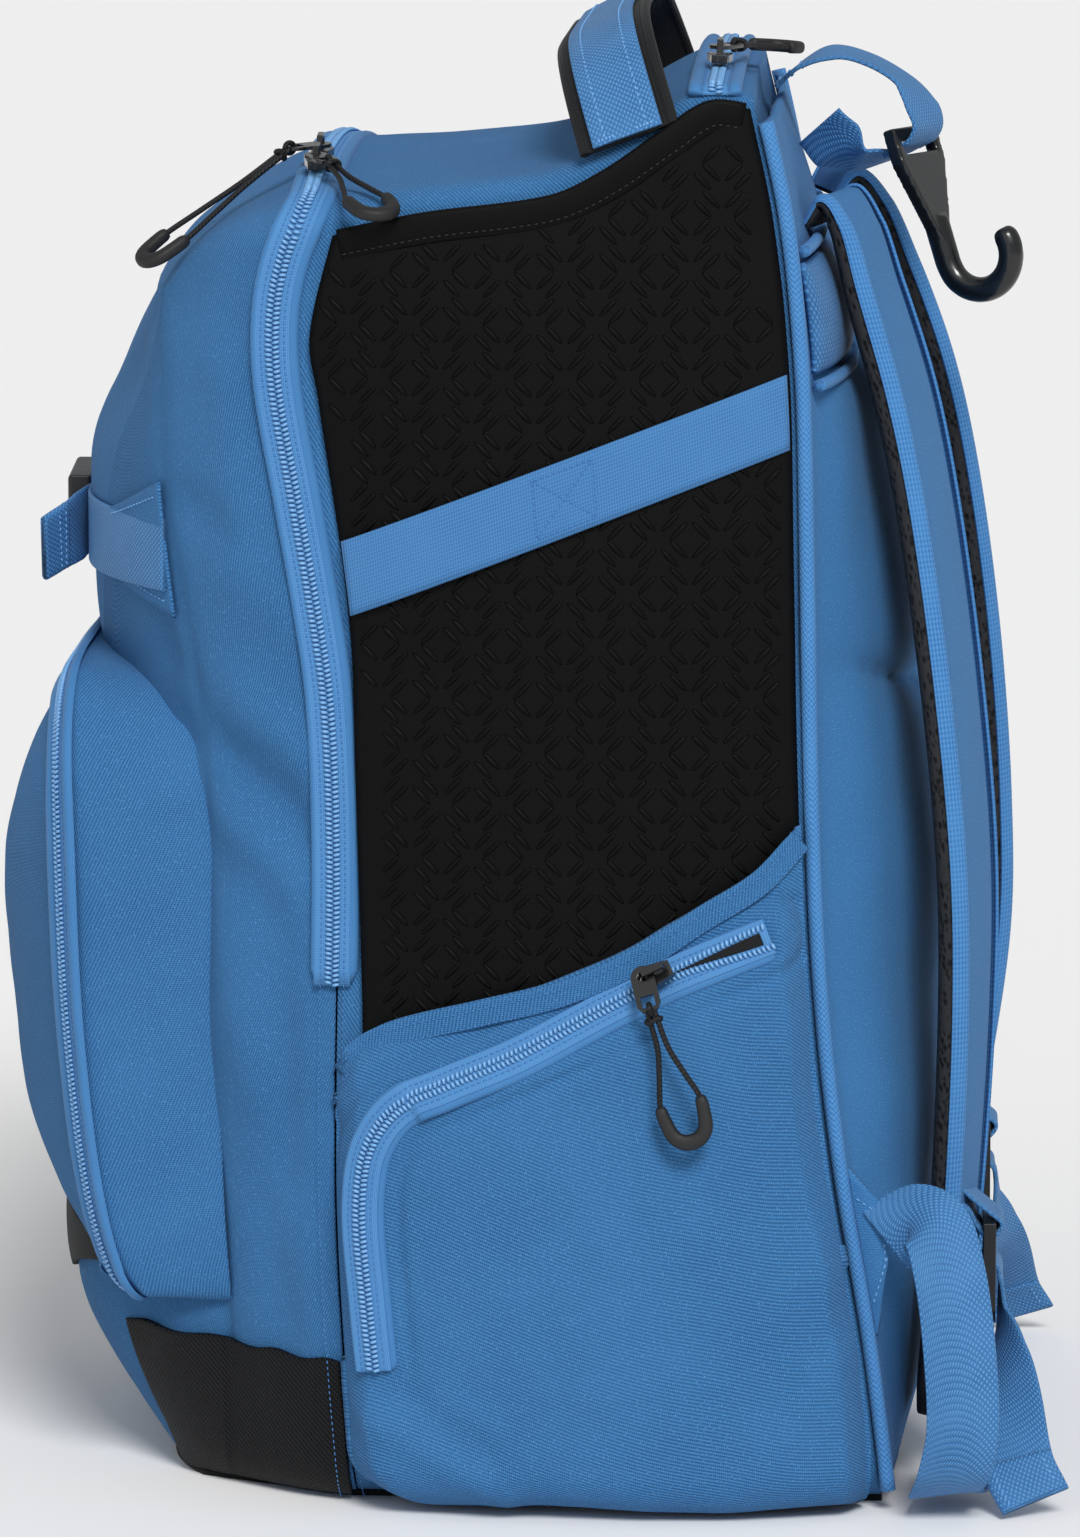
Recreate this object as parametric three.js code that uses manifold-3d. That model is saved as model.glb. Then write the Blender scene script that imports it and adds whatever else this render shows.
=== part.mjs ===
// A baseball bat backpack, standing on its base with its shoulder straps hanging.
// Millimetres. +X is the wearer's right, +Y the back panel that lies on the wearer, +Z up.
// The origin lies on the underside of the base.
import * as THREE from "three";
import { mergeVertices } from "three/addons/utils/BufferGeometryUtils.js";
import Module from "manifold-3d";

const wasm = await Module();
wasm.setup();

// Driving sizes of the bag
const height = 495; // base to the top of the rear side seam
const halfWidth = 144; // main compartment, middle to side
const halfDepth = 82; // main compartment, origin to its rear seam at mid height
const gussetDepth = 47; // front compartment's side, main zip to front seam
const faceBulge = 43; // front face, crown over its side seams
const backBulge = 51; // padded back, crown over its side seams
const backWallShare = 0.5; // share of that crown which is the wall behind the pads
const clothWall = 2.5; // padded polyester wall
const seamGap = 0.4; // between pieces that are sewn together
const baseThickness = 2.2; // black base cloth
const bottomRadius = 16; // turn from the base into the sides

// Driving sizes of the sides
const sleeveWall = 3; // embossed neoprene
const sleeveRoom = 9; // room for a bat between sleeve and shell
const sleeveHemUp = 20; // lower end of the sleeve over the base
const pocketBulge = 25; // side pocket, crown over the shell
const pocketWall = 2;
const elasticWidth = 26;
const elasticThickness = 1.4;
const pipingRadius = 2.3;

// Driving sizes of the front
const pocketDepth = 48; // front pocket, front seam to its zip
const pocketCrown = 36; // front pocket, its zip to its crown
const pocketLow = 62; // lower corners of the front pocket
const pocketArch = 35; // rise of its lower edge at the middle
const pocketHigh = 292; // upper edge of the front pocket
const toeThickness = 2;
const toeLow = 58; // lower edge of the black toe band
const bootHigh = 52; // upper edge of the front boots
const bootThickness = 2;
const frontStrapUp = 334; // middle of the front compression strap
const webWidth = 25.4;
const webThickness = 1.6;

// Driving sizes of the zips
const tapeHalf = 7; // half a zip's visible tape
const tapeThickness = 1.2;
const teethHeight = 1.2;

// Driving sizes of the harness
const strapWidth = 66;
const strapThickness = 13;
const strapRoot = 62; // middle of a strap at its upper seam, from the middle of the bag
const lockHeight = 36;
const lockWidth = 38;
const lockThickness = 4.4;
const handleWidth = 36;
const handleRise = 34;
const handleStation = 22; // handle's ends, from the origin towards the back
const handleLean = 11; // handle's crown leans this much to the front
const handlePadThickness = 2;

// Driving sizes of the fence hook
const hookRod = 4.7; // radius
const hookPlateWidth = 37;
const hookPlateThickness = 5;
const hookPlateLength = 30;
const hookShank = 45;
const hookBend = 12.5; // radius of the rod's middle line

// Driving sizes of the zip pulls
const cordRadius = 1;
const tabLength = 11;
const tabWidth = 8.4;
const tabThickness = 1.3;
const gripLength = 19;
const gripThickness = 4.4;

// Outlines of the bag seen from its side. "up" is a share of height.
const rearSeam = [
  { up: 0, back: 1.36 },
  { up: 0.13, back: 1.254 },
  { up: 0.25, back: 1.13 },
  { up: 0.37, back: 1.046 },
  { up: 0.5, back: 1.005 },
  { up: 0.69, back: 0.978 },
  { up: 0.81, back: 0.954 },
  { up: 0.915, back: 0.889 },
  { up: 1, back: 0.78 },
];
const zipLine = [
  { up: 0, back: -0.902 },
  { up: 0.1, back: -0.951 },
  { up: 0.21, back: -0.985 },
  { up: 0.31, back: -0.985 },
  { up: 0.47, back: -0.97 },
  { up: 0.58, back: -0.995 },
  { up: 0.65, back: -1.054 },
  { up: 0.72, back: -1.127 },
  { up: 0.8, back: -1.21 },
  { up: 0.85, back: -1.217 },
  { up: 0.89, back: -1.171 },
  { up: 0.93, back: -1.067 },
];
// "deep" is a share of gussetDepth, "wide" of halfWidth, "full" of faceBulge, and
// "square" how flat the face stays before it turns to the sides.
const frontSeam = [
  { up: 0, deep: 0.96, wide: 0.8, full: 0.6, square: 4 },
  { up: 0.065, deep: 0.93, wide: 0.81, full: 1.12, square: 4 },
  { up: 0.12, deep: 0.92, wide: 0.82, full: 1.4, square: 3.8 },
  { up: 0.16, deep: 0.92, wide: 0.83, full: 1.4, square: 3.4 },
  { up: 0.25, deep: 0.94, wide: 0.85, full: 1.15, square: 2.8 },
  { up: 0.36, deep: 1.0, wide: 0.868, full: 1.0, square: 2.4 },
  { up: 0.51, deep: 1.02, wide: 0.865, full: 0.95, square: 2.4 },
  { up: 0.61, deep: 1.05, wide: 0.86, full: 0.96, square: 2.4 },
  { up: 0.67, deep: 1.06, wide: 0.85, full: 0.87, square: 2.4 },
  { up: 0.74, deep: 1.03, wide: 0.833, full: 0.76, square: 2.4 },
  { up: 0.8, deep: 0.94, wide: 0.81, full: 0.44, square: 2.4 },
  { up: 0.85, deep: 0.95, wide: 0.778, full: 0.14, square: 2.4 },
];
// Side seam and crown of the top. "at" is 0 at the rear seam, 1 at the main zip and 2 at the front seam.
const topLine = [
  { at: 0, seam: 0.996, crown: 1.008 },
  { at: 0.1, seam: 0.999, crown: 1.014 },
  { at: 0.22, seam: 0.978, crown: 1.0 },
  { at: 0.36, seam: 0.951, crown: 0.978 },
  { at: 0.48, seam: 0.934, crown: 0.961 },
  { at: 0.75, seam: 0.921, crown: 0.951 },
  { at: 1, seam: 0.903, crown: 0.949 },
  { at: 1.3, seam: 0.894, crown: 0.94 },
  { at: 1.6, seam: 0.889, crown: 0.922 },
  { at: 1.85, seam: 0.874, crown: 0.895 },
  { at: 2, seam: 0.851, crown: 0.859 },
];
// Crown of the padded back, a share of backBulge, with its height a share of height.
const backCrown = [
  { up: 0, full: 0.1 },
  { up: 0.065, full: 0.36 },
  { up: 0.13, full: 0.55 },
  { up: 0.25, full: 0.79 },
  { up: 0.34, full: 0.9 },
  { up: 0.44, full: 1.0 },
  { up: 0.49, full: 0.97 },
  { up: 0.58, full: 0.88 },
  { up: 0.67, full: 0.76 },
  { up: 0.78, full: 0.58 },
  { up: 0.85, full: 0.38 },
  { up: 0.9, full: 0.22 },
  { up: 1, full: 0.1 },
];
// Front edge of the sleeve and upper edge of the side pocket, as shares of halfDepth and height.
const sleeveFront = [
  { up: 0, back: -0.83 },
  { up: 0.34, back: -0.863 },
  { up: 0.52, back: -0.885 },
  { up: 0.63, back: -0.917 },
  { up: 0.79, back: -1.044 },
  { up: 0.835, back: -1.08 },
  { up: 0.91, back: -0.975 },
];
const pocketEdge = [
  { back: -1.02, up: 0.291 },
  { back: -0.93, up: 0.33 },
  { back: -0.85, up: 0.345 },
  { back: -0.7, up: 0.357 },
  { back: -0.36, up: 0.372 },
  { back: 0, up: 0.388 },
  { back: 0.32, up: 0.412 },
  { back: 0.57, up: 0.439 },
  { back: 0.83, up: 0.466 },
  { back: 1.01, up: 0.498 },
];
// Teeth of the side pocket's zip, as shares of halfDepth and height.
const sideZipLine = [
  { back: -0.8, up: 0.105 },
  { back: -0.83, up: 0.155 },
  { back: -0.86, up: 0.226 },
  { back: -0.82, up: 0.268 },
  { back: -0.7, up: 0.297 },
  { back: -0.5, up: 0.313 },
  { back: -0.19, up: 0.335 },
  { back: 0.19, up: 0.368 },
  { back: 0.49, up: 0.393 },
  { back: 0.89, up: 0.42 },
];

// Cloth and plastic colours
const paint = (colour, roughness, metalness = 0) =>
  new THREE.MeshStandardMaterial({ color: colour, roughness, metalness });
const blueCloth = paint(0x3b7cba, 0.85);
const blueWeb = paint(0x4a90d4, 0.8);
const blueZip = paint(0x5b9ce0, 0.7);
const blackCloth = paint(0x17181a, 0.9);
const blackNeoprene = paint(0x0d0e10, 0.75);
const blackPlastic = paint(0x121314, 0.35);
const blackMetal = paint(0x0b0b0c, 0.3, 0.6);

// A smooth curve through a table: the value of one column at a place in another.
function curve(rows, from, to, fromScale = 1, toScale = 1) {
  const x = rows.map((row) => row[from] * fromScale);
  const y = rows.map((row) => row[to] * toScale);
  const slope = y.map((value, i) => {
    const before = Math.max(i - 1, 0);
    const after = Math.min(i + 1, y.length - 1);
    return (y[after] - y[before]) / (x[after] - x[before]);
  });
  return (place) => {
    const p = Math.min(Math.max(place, x[0]), x[x.length - 1]);
    let i = 0;
    while (i < x.length - 2 && p > x[i + 1]) i += 1;
    const span = x[i + 1] - x[i];
    const t = (p - x[i]) / span;
    const a = y[i];
    const b = slope[i] * span;
    const c = 3 * (y[i + 1] - a) - 2 * b - slope[i + 1] * span;
    const d = 2 * (a - y[i + 1]) + b + slope[i + 1] * span;
    return a + b * t + c * t * t + d * t * t * t;
  };
}
const mix = (a, b, t) => a + (b - a) * t;
const clamp = (value, low, high) => Math.min(Math.max(value, low), high);
const spread = (low, high, count) =>
  Array.from({ length: count }, (_, i) => mix(low, high, i / (count - 1)));

const rearAt = curve(rearSeam, "up", "back", height, halfDepth);
const zipAt = curve(zipLine, "up", "back", height, halfDepth);
const gussetAt = curve(frontSeam, "up", "deep", height, gussetDepth);
const frontHalfWidth = curve(frontSeam, "up", "wide", height, halfWidth);
const bulgeAt = curve(frontSeam, "up", "full", height, faceBulge);
const squareAt = curve(frontSeam, "up", "square", height, 1);
const sideSeamAt = curve(topLine, "at", "seam", 1, height);
const crownAt = curve(topLine, "at", "crown", 1, height);
const backCrownAt = curve(backCrown, "up", "full", height, backBulge);
const sleeveFrontAt = curve(sleeveFront, "up", "back", height, halfDepth);
const pocketEdgeAt = curve(pocketEdge, "back", "up", halfDepth, height);
const frontSeamAt = (z) => zipAt(z) - gussetAt(z);

// Half width of the shell at a station along its side (0 rear seam, 1 main zip, 2 front seam).
function widthAt(station, z) {
  const taper = 1 - 0.025 * (z / height) ** 2;
  const plump = 1 + 0.014 * Math.sin(Math.PI * clamp(station, 0, 1));
  const side = halfWidth * taper * plump;
  const beyond = clamp(station - 1, 0, 1);
  return mix(side, frontHalfWidth(z), beyond ** 1.5);
}

// Front face: how far forward it lies at a place across and up.
function faceAt(x, z) {
  const share = clamp(Math.abs(x) / frontHalfWidth(z), 0, 1);
  return frontSeamAt(z) - bulgeAt(z) * (1 - share ** squareAt(z));
}

// Back: how far back the wall (part 0) or the outside of the pads (part 1) lies.
const backPower = 3;
function backAt(x, z, part) {
  const share = clamp(Math.abs(x) / widthAt(0, z), 0, 1);
  const full = backCrownAt(z) * mix(backWallShare, 1, part);
  return rearAt(z) + full * (1 - share ** backPower);
}

// One point of the shell's outside. Round is 0 under the middle of the base and 1 on the crown.
const roundMarks = { base: 0.2, side: 0.27, seam: 0.73, top: 0.8 };
const shellBottom = baseThickness + seamGap;
function shellPoint(station, round) {
  const seam = sideSeamAt(station);
  const rise = crownAt(station) - seam;
  const cornerRise = rise * 0.62;
  const corner = rise * 0.8 + 2;
  const low = shellBottom;
  let x;
  let z;
  if (round < roundMarks.base) {
    z = low;
    x = (widthAt(station, z) - bottomRadius) * (round / roundMarks.base);
  } else if (round < roundMarks.side) {
    const turn =
      ((round - roundMarks.base) / (roundMarks.side - roundMarks.base)) *
      (Math.PI / 2);
    z = low + bottomRadius * (1 - Math.cos(turn));
    x = widthAt(station, z) - bottomRadius * (1 - Math.sin(turn));
  } else if (round < roundMarks.seam) {
    const share =
      (round - roundMarks.side) / (roundMarks.seam - roundMarks.side);
    z = mix(low + bottomRadius, seam, share);
    x = widthAt(station, z);
  } else if (round < roundMarks.top) {
    const turn =
      ((round - roundMarks.seam) / (roundMarks.top - roundMarks.seam)) *
      (Math.PI / 2);
    x = widthAt(station, seam) - corner * (1 - Math.cos(turn));
    z = seam + cornerRise * Math.sin(turn);
  } else {
    const across = (1 - round) / (1 - roundMarks.top);
    x = (widthAt(station, seam) - corner) * across;
    z = seam + cornerRise + (rise - cornerRise) * (1 - across ** 2);
  }
  const forward = clamp(station - 1, 0, 1);
  const y =
    station <= 1
      ? mix(rearAt(z), zipAt(z), station)
      : mix(zipAt(z), faceAt(x, z), forward);
  return [x, y, z];
}

// One point on the shell's side, by how far back and up it is.
function sidePoint(y, z, station) {
  const at = station ?? clamp((y - rearAt(z)) / (zipAt(z) - rearAt(z)), 0, 1);
  const lift = clamp(z - shellBottom, 0, bottomRadius);
  const inset =
    bottomRadius - Math.sqrt(bottomRadius ** 2 - (bottomRadius - lift) ** 2);
  return [widthAt(at, z) - inset, y, z];
}

// Geometry from points and triangles, turned right side out.
function solidFrom(points, triangles) {
  let volume = 0;
  for (let i = 0; i < triangles.length; i += 3) {
    const [a, b, c] = [0, 1, 2].map(
      (k) => new THREE.Vector3(...points[triangles[i + k]]),
    );
    volume += a.dot(b.cross(c));
  }
  if (volume < 0) triangles.reverse();
  const geometry = new THREE.BufferGeometry();
  geometry.setAttribute(
    "position",
    new THREE.Float32BufferAttribute(points.flat(), 3),
  );
  geometry.setIndex(triangles);
  return geometry;
}

const apart = (p, q) => Math.hypot(p[0] - q[0], p[1] - q[1], p[2] - q[2]);
// A solid through closed rings of points, capped at both ends or joined end to end.
function loft(rings, joined = false) {
  const count = rings[0].length;
  const points = rings.flat();
  const triangles = [];
  for (let r = 0; r < rings.length - 1; r += 1) {
    for (let i = 0; i < count; i += 1) {
      const a = r * count + i;
      const b = r * count + ((i + 1) % count);
      const [c, d] = [b + count, a + count];
      const rising = apart(points[a], points[c]) < apart(points[b], points[d]) + 1e-4;
      triangles.push(...(rising ? [a, b, c, a, c, d] : [a, b, d, b, c, d]));
    }
  }
  for (let i = 0; joined && i < count; i += 1) {
    const a = (rings.length - 1) * count + i;
    const b = (rings.length - 1) * count + ((i + 1) % count);
    const [c, d] = [(i + 1) % count, i];
    triangles.push(a, b, c, a, c, d);
  }
  (joined ? [] : [0, rings.length - 1]).forEach((r, end) => {
    const middle = [0, 1, 2].map(
      (k) => rings[r].reduce((sum, p) => sum + p[k], 0) / count,
    );
    points.push(middle);
    const hub = points.length - 1;
    for (let i = 0; i < count; i += 1) {
      const a = r * count + i;
      const b = r * count + ((i + 1) % count);
      triangles.push(...(end ? [a, b, hub] : [b, a, hub]));
    }
  });
  return solidFrom(points, triangles);
}

// A sheet with a thickness: place(u, v, face) gives a point of its face 0 or face 1.
function sheet(acrossCount, upCount, place) {
  const points = [];
  const triangles = [];
  const index = (face, i, j) =>
    face * acrossCount * upCount + j * acrossCount + i;
  for (let face = 0; face < 2; face += 1) {
    for (let j = 0; j < upCount; j += 1) {
      for (let i = 0; i < acrossCount; i += 1) {
        points.push(place(i / (acrossCount - 1), j / (upCount - 1), face));
      }
    }
  }
  for (let j = 0; j < upCount - 1; j += 1) {
    for (let i = 0; i < acrossCount - 1; i += 1) {
      const [a, b, c, d] = [
        index(0, i, j),
        index(0, i + 1, j),
        index(0, i + 1, j + 1),
        index(0, i, j + 1),
      ];
      const back = acrossCount * upCount;
      triangles.push(a, b, c, a, c, d);
      triangles.push(a + back, c + back, b + back);
      triangles.push(a + back, d + back, c + back);
    }
  }
  const edge = [];
  for (let i = 0; i < acrossCount - 1; i += 1) edge.push([i, 0]);
  for (let j = 0; j < upCount - 1; j += 1) edge.push([acrossCount - 1, j]);
  for (let i = acrossCount - 1; i > 0; i -= 1) edge.push([i, upCount - 1]);
  for (let j = upCount - 1; j > 0; j -= 1) edge.push([0, j]);
  edge.forEach(([i, j], k) => {
    const [ni, nj] = edge[(k + 1) % edge.length];
    const a = index(0, i, j);
    const b = index(0, ni, nj);
    const c = index(1, ni, nj);
    const d = index(1, i, j);
    triangles.push(b, a, d, b, d, c);
  });
  return solidFrom(points, triangles);
}

// A section swept along a path, in equal steps or at given places. frameAt(t) gives the path's
// place, its direction across and its outward direction.
function sweep(steps, frameAt, section) {
  const places = Array.isArray(steps) ? steps : spread(0, 1, steps + 1);
  return loft(
    places.map((t) => {
      const { place, across, out } = frameAt(t);
      return section.map(([a, o]) =>
        place.map((value, k) => value + across[k] * a + out[k] * o),
      );
    }),
  );
}

const vector = (p) => new THREE.Vector3(...p);
// Frame of a path on a surface: surface(along, beside) gives points, and out is its normal.
function surfaceFrame(surface, beside = 0, flip = 1) {
  const step = 0.004;
  return (t) => {
    const place = vector(surface(t, beside));
    const ahead = vector(surface(t + step, beside));
    const behind = vector(surface(t - step, beside));
    const forward = ahead.sub(behind).normalize();
    const next = vector(surface(t, beside + 0.4)).sub(place).normalize();
    const out = new THREE.Vector3()
      .crossVectors(forward, next)
      .normalize()
      .multiplyScalar(flip);
    const across = new THREE.Vector3().crossVectors(out, forward).normalize();
    return {
      place: place.toArray(),
      across: across.toArray(),
      out: out.toArray(),
    };
  };
}

// A ribbon through rows of a route: each row is a place and the direction across the ribbon.
function routeFrame(rows) {
  const line = new THREE.CatmullRomCurve3(
    rows.map((row) => new THREE.Vector3(row.x, row.y, row.z)),
    false,
    "centripetal",
  );
  const wide = new THREE.CatmullRomCurve3(
    rows.map((row) => new THREE.Vector3(row.wideX, row.wideY, row.wideZ)),
  );
  return (t) => {
    const forward = line.getTangent(t);
    const across = wide.getPoint(t);
    across.addScaledVector(forward, -across.dot(forward)).normalize();
    const out = new THREE.Vector3().crossVectors(across, forward);
    return {
      place: line.getPoint(t).toArray(),
      across: across.toArray(),
      out: out.toArray(),
    };
  };
}
const bandSection = (width, thickness) => [
  [-width / 2, -thickness / 2],
  [width / 2, -thickness / 2],
  [width / 2, thickness / 2],
  [-width / 2, thickness / 2],
];
const flatSection = (width, thickness) => [
  [-width / 2, 0],
  [width / 2, 0],
  [width / 2, thickness],
  [-width / 2, thickness],
];
const zipSection = [
  [-tapeHalf, 0],
  [tapeHalf, 0],
  [tapeHalf, tapeThickness],
  [0, tapeThickness + teethHeight],
  [-tapeHalf, tapeThickness],
];

// Joins closed geometries into one.
function toManifold(geometry) {
  const bare = new THREE.BufferGeometry();
  bare.setAttribute("position", geometry.getAttribute("position"));
  if (geometry.index) bare.setIndex(geometry.index);
  const merged = mergeVertices(bare, 1e-4);
  return new wasm.Manifold(
    new wasm.Mesh({
      numProp: 3,
      vertProperties: new Float32Array(merged.attributes.position.array),
      triVerts: new Uint32Array(merged.index.array),
    }),
  );
}
function fused(...geometries) {
  return fromManifold(
    geometries.map(toManifold).reduce((sum, solid) => sum.add(solid)),
  );
}
// A piece cut back where others stand: what is left in one body.
function cutBack(geometry, ...others) {
  const left = others
    .map(toManifold)
    .reduce((rest, other) => rest.subtract(other), toManifold(geometry));
  const bodies = left.decompose().sort((a, b) => b.volume() - a.volume());
  return fromManifold(bodies[0]);
}
function fromManifold(solid) {
  const mesh = solid.getMesh();
  const geometry = new THREE.BufferGeometry();
  geometry.setAttribute(
    "position",
    new THREE.BufferAttribute(new Float32Array(mesh.vertProperties), 3),
  );
  geometry.setIndex([...mesh.triVerts]);
  return geometry;
}

const backpack = new THREE.Group();
function piece(name, geometry, material, parent = backpack) {
  const mesh = new THREE.Mesh(geometry, material);
  mesh.name = name;
  parent.add(mesh);
  return mesh;
}

// Compartments: shells of cloth, each open where a zip or seam joins it to the next
const halfRounds = [
  0, 0.2, 0.232, 0.27, 0.36, 0.45, 0.54, 0.59, 0.64, 0.686, 0.73, 0.765, 0.8,
  0.9, 1,
];
// A closed ring from the points of its right half.
function wholeRing(half) {
  const right = half.map((p) => [...p]);
  const left = half
    .slice(1, -1)
    .reverse()
    .map(([x, y, z]) => [-x, y, z]);
  return [...right, ...left];
}
// Moves a point of a ring inwards by the wall, in width and height.
function inwards([x, y, z], round, wall, forward = 0) {
  const low = round < 0.25;
  const high = round > 0.765;
  return [
    round > 0.15 && round < 0.85 ? x - wall : x,
    y + forward,
    z + (low ? wall : 0) - (high ? wall : 0),
  ];
}
const ringAt = (station, wall, forward = 0) =>
  wholeRing(
    halfRounds.map((round) =>
      inwards(shellPoint(station, round), round, wall, forward),
    ),
  );

// Rings that close a shell's front or back, drawn in towards a centre.
function closingRing(station, share, centreUp, depthAt, wall, forward) {
  return wholeRing(
    halfRounds.map((round) => {
      const [x, , z] = inwards(shellPoint(station, round), round, wall);
      const nx = x * share;
      const nz = centreUp + (z - centreUp) * share;
      return [nx, depthAt(nx, nz) + forward, nz];
    }),
  );
}

const backCentre = height * 0.5;
const backShares = [0.84, 0.4];
const backWall = (x, z) => backAt(x, z, 0);
function mainShell() {
  const stations = [0.997, 0.66, 0.33, 0.1, 0];
  const outside = stations.map((s) => ringAt(s, 0));
  const outsideBack = backShares.map((share) =>
    closingRing(0, share, backCentre, backWall, 0, 0),
  );
  const inside = stations
    .slice(0, -1)
    .map((s) => ringAt(s, clothWall))
    .reverse();
  const insideBack = backShares
    .map((share) =>
      closingRing(0, share, backCentre, backWall, clothWall, -clothWall),
    )
    .reverse();
  return loft([...insideBack, ...inside, ...outside, ...outsideBack]);
}

const faceCentre = height * 0.43;
const faceShares = [0.86, 0.58, 0.24];
function frontShell() {
  const stations = [1.006, 1.3, 1.6, 1.85, 2];
  const outside = stations.map((s) => ringAt(s, 0));
  const outsideFace = faceShares.map((share) =>
    closingRing(2, share, faceCentre, faceAt, 0, 0),
  );
  const inside = stations
    .slice(0, -1)
    .map((s) => ringAt(s, clothWall))
    .reverse();
  const insideFace = faceShares
    .map((share) =>
      closingRing(2, share, faceCentre, faceAt, clothWall, clothWall),
    )
    .reverse();
  return loft([...insideFace, ...inside, ...outside, ...outsideFace]);
}

// The bag without its pieces, a little larger all round
function filledMain(grow) {
  return loft([
    ...[1.002, 0.66, 0.33, 0.1, 0].map((s) => ringAt(s, -grow)),
    ...backShares.map((share) =>
      closingRing(0, share, backCentre, backWall, -grow, grow),
    ),
  ]);
}
function filledFront(grow) {
  return loft([
    ...[0.999, 1.3, 1.6, 1.85, 2].map((s) => ringAt(s, -grow)),
    ...faceShares.map((share) =>
      closingRing(2, share, faceCentre, faceAt, -grow, -grow),
    ),
  ]);
}
const mainFill = filledMain(seamGap);
const frontFill = filledFront(seamGap);

// Front pocket: its outline on the face, then its depth from the face outwards
const pocketMiddle = (pocketLow + pocketHigh) / 2;
const pocketRadius = 52; // upper corners
const pocketFoot = 14; // lower corners
function pocketOutline(turnShare) {
  const wide = frontHalfWidth(pocketMiddle);
  const corners = 4;
  const half = [];
  for (let i = 0; i <= 2; i += 1) {
    const x = (wide - pocketFoot) * (i / 2);
    half.push([x, pocketLow + pocketArch * (1 - (x / wide) ** 2)]);
  }
  half.push([wide - 0.3 * pocketFoot, pocketLow + 0.5 * pocketFoot]);
  half.push([wide, pocketLow + 1.8 * pocketFoot]);
  half.push([wide, mix(pocketLow, pocketHigh - pocketRadius, 0.45)]);
  for (let i = 0; i <= corners; i += 1) {
    const turn = (i / corners) * (Math.PI / 2);
    half.push([
      wide - pocketRadius * (1 - Math.cos(turn)),
      pocketHigh - pocketRadius * (1 - Math.sin(turn)),
    ]);
  }
  half.push([(wide - pocketRadius) / 2, pocketHigh + 1]);
  half.push([0, pocketHigh + 1.5]);
  return half.map(([x, z]) => [
    x * turnShare,
    pocketMiddle + (z - pocketMiddle) * turnShare,
  ]);
}
// Depth of the pocket at a share of its outline and at a height.
const pocketFullness = [
  { up: 0.1, full: 0.42 },
  { up: 0.13, full: 0.56 },
  { up: 0.16, full: 0.74 },
  { up: 0.24, full: 0.89 },
  { up: 0.34, full: 0.95 },
  { up: 0.47, full: 1 },
  { up: 0.56, full: 0.98 },
  { up: 0.64, full: 0.86 },
];
const pocketFullAt = curve(pocketFullness, "up", "full", height, 1);
function pocketFront(share, z) {
  const edge = frontSeamAt(z) - pocketDepth * pocketFullAt(z);
  return edge - pocketCrown * (1 - share ** 2.2) * pocketFullAt(z) ** 0.5;
}
function pocketRing(share, inward) {
  return wholeRing(
    pocketOutline(share).map(([x, z]) => {
      const width = Math.max(Math.abs(x) - inward, 0) * Math.sign(x);
      const up = z - inward * Math.sign(z - pocketMiddle);
      return [width, pocketFront(share, z) + inward, up];
    }),
  );
}
function pocketRootRing(outward, share, inward) {
  return wholeRing(
    pocketOutline(1).map(([x, z]) => {
      const width = Math.max(Math.abs(x) - inward, 0);
      const up = z - inward * Math.sign(z - pocketMiddle);
      const root = faceAt(width, up) - outward;
      return [width, mix(root, pocketFront(1, z), share), up];
    }),
  );
}
function frontPocket() {
  const shares = [0.88, 0.6, 0.25];
  const rings = (wall) => [
    pocketRootRing(-4, 0, wall),
    pocketRootRing(-4, 0.6, wall),
    pocketRing(0.985, wall),
    ...shares.map((share) => pocketRing(share, wall)),
  ];
  return loft([...rings(pocketWall).reverse(), ...rings(0)]);
}
function filledPocket(grow) {
  return loft([
    pocketRootRing(-4, 0, -grow),
    pocketRootRing(-4, 0.6, -grow),
    ...[0.985, 0.88, 0.6, 0.25].map((share) => pocketRing(share, -grow)),
  ]);
}
const pocketFill = filledPocket(seamGap);

piece("main_shell", mainShell(), blueCloth);
piece("front_shell", frontShell(), blueCloth);
piece("front_pocket", cutBack(frontPocket(), frontFill), blueCloth);

// Black toe band: a crescent on the face under the front pocket
const toeHalf = 88;
function toeBand() {
  return sheet(13, 3, (u, v, face) => {
    const x = mix(-toeHalf, toeHalf, u);
    const share = (x / toeHalf) ** 2;
    const wide = frontHalfWidth(pocketMiddle);
    const top = pocketLow + pocketArch * (1 - (x / wide) ** 2) - 1.5;
    const z = mix(mix(toeLow, top - 4, share), top, v);
    const out = face ? -3 : toeThickness + 5 * v * (1 - share);
    return [x, faceAt(x, z) - out, z];
  });
}
piece("toe_band", cutBack(toeBand(), frontFill, pocketFill), blackCloth);

// Base and boots
function basePanel() {
  const stations = [0, 0.1, 0.33, 0.66, 1, 1.3, 1.6, 1.85, 2];
  return sheet(7, stations.length, (u, v, face) => {
    const station = stations[Math.round(v * (stations.length - 1))];
    const [x, y] = shellPoint(station, roundMarks.base);
    const across = mix(-1, 1, u);
    const round = Math.abs(across) * roundMarks.base;
    const [, yAcross] = shellPoint(station, round);
    return [x * across, station > 1 ? yAcross : y, face ? baseThickness : 0];
  });
}
piece("base_panel", basePanel(), blackCloth);

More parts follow.
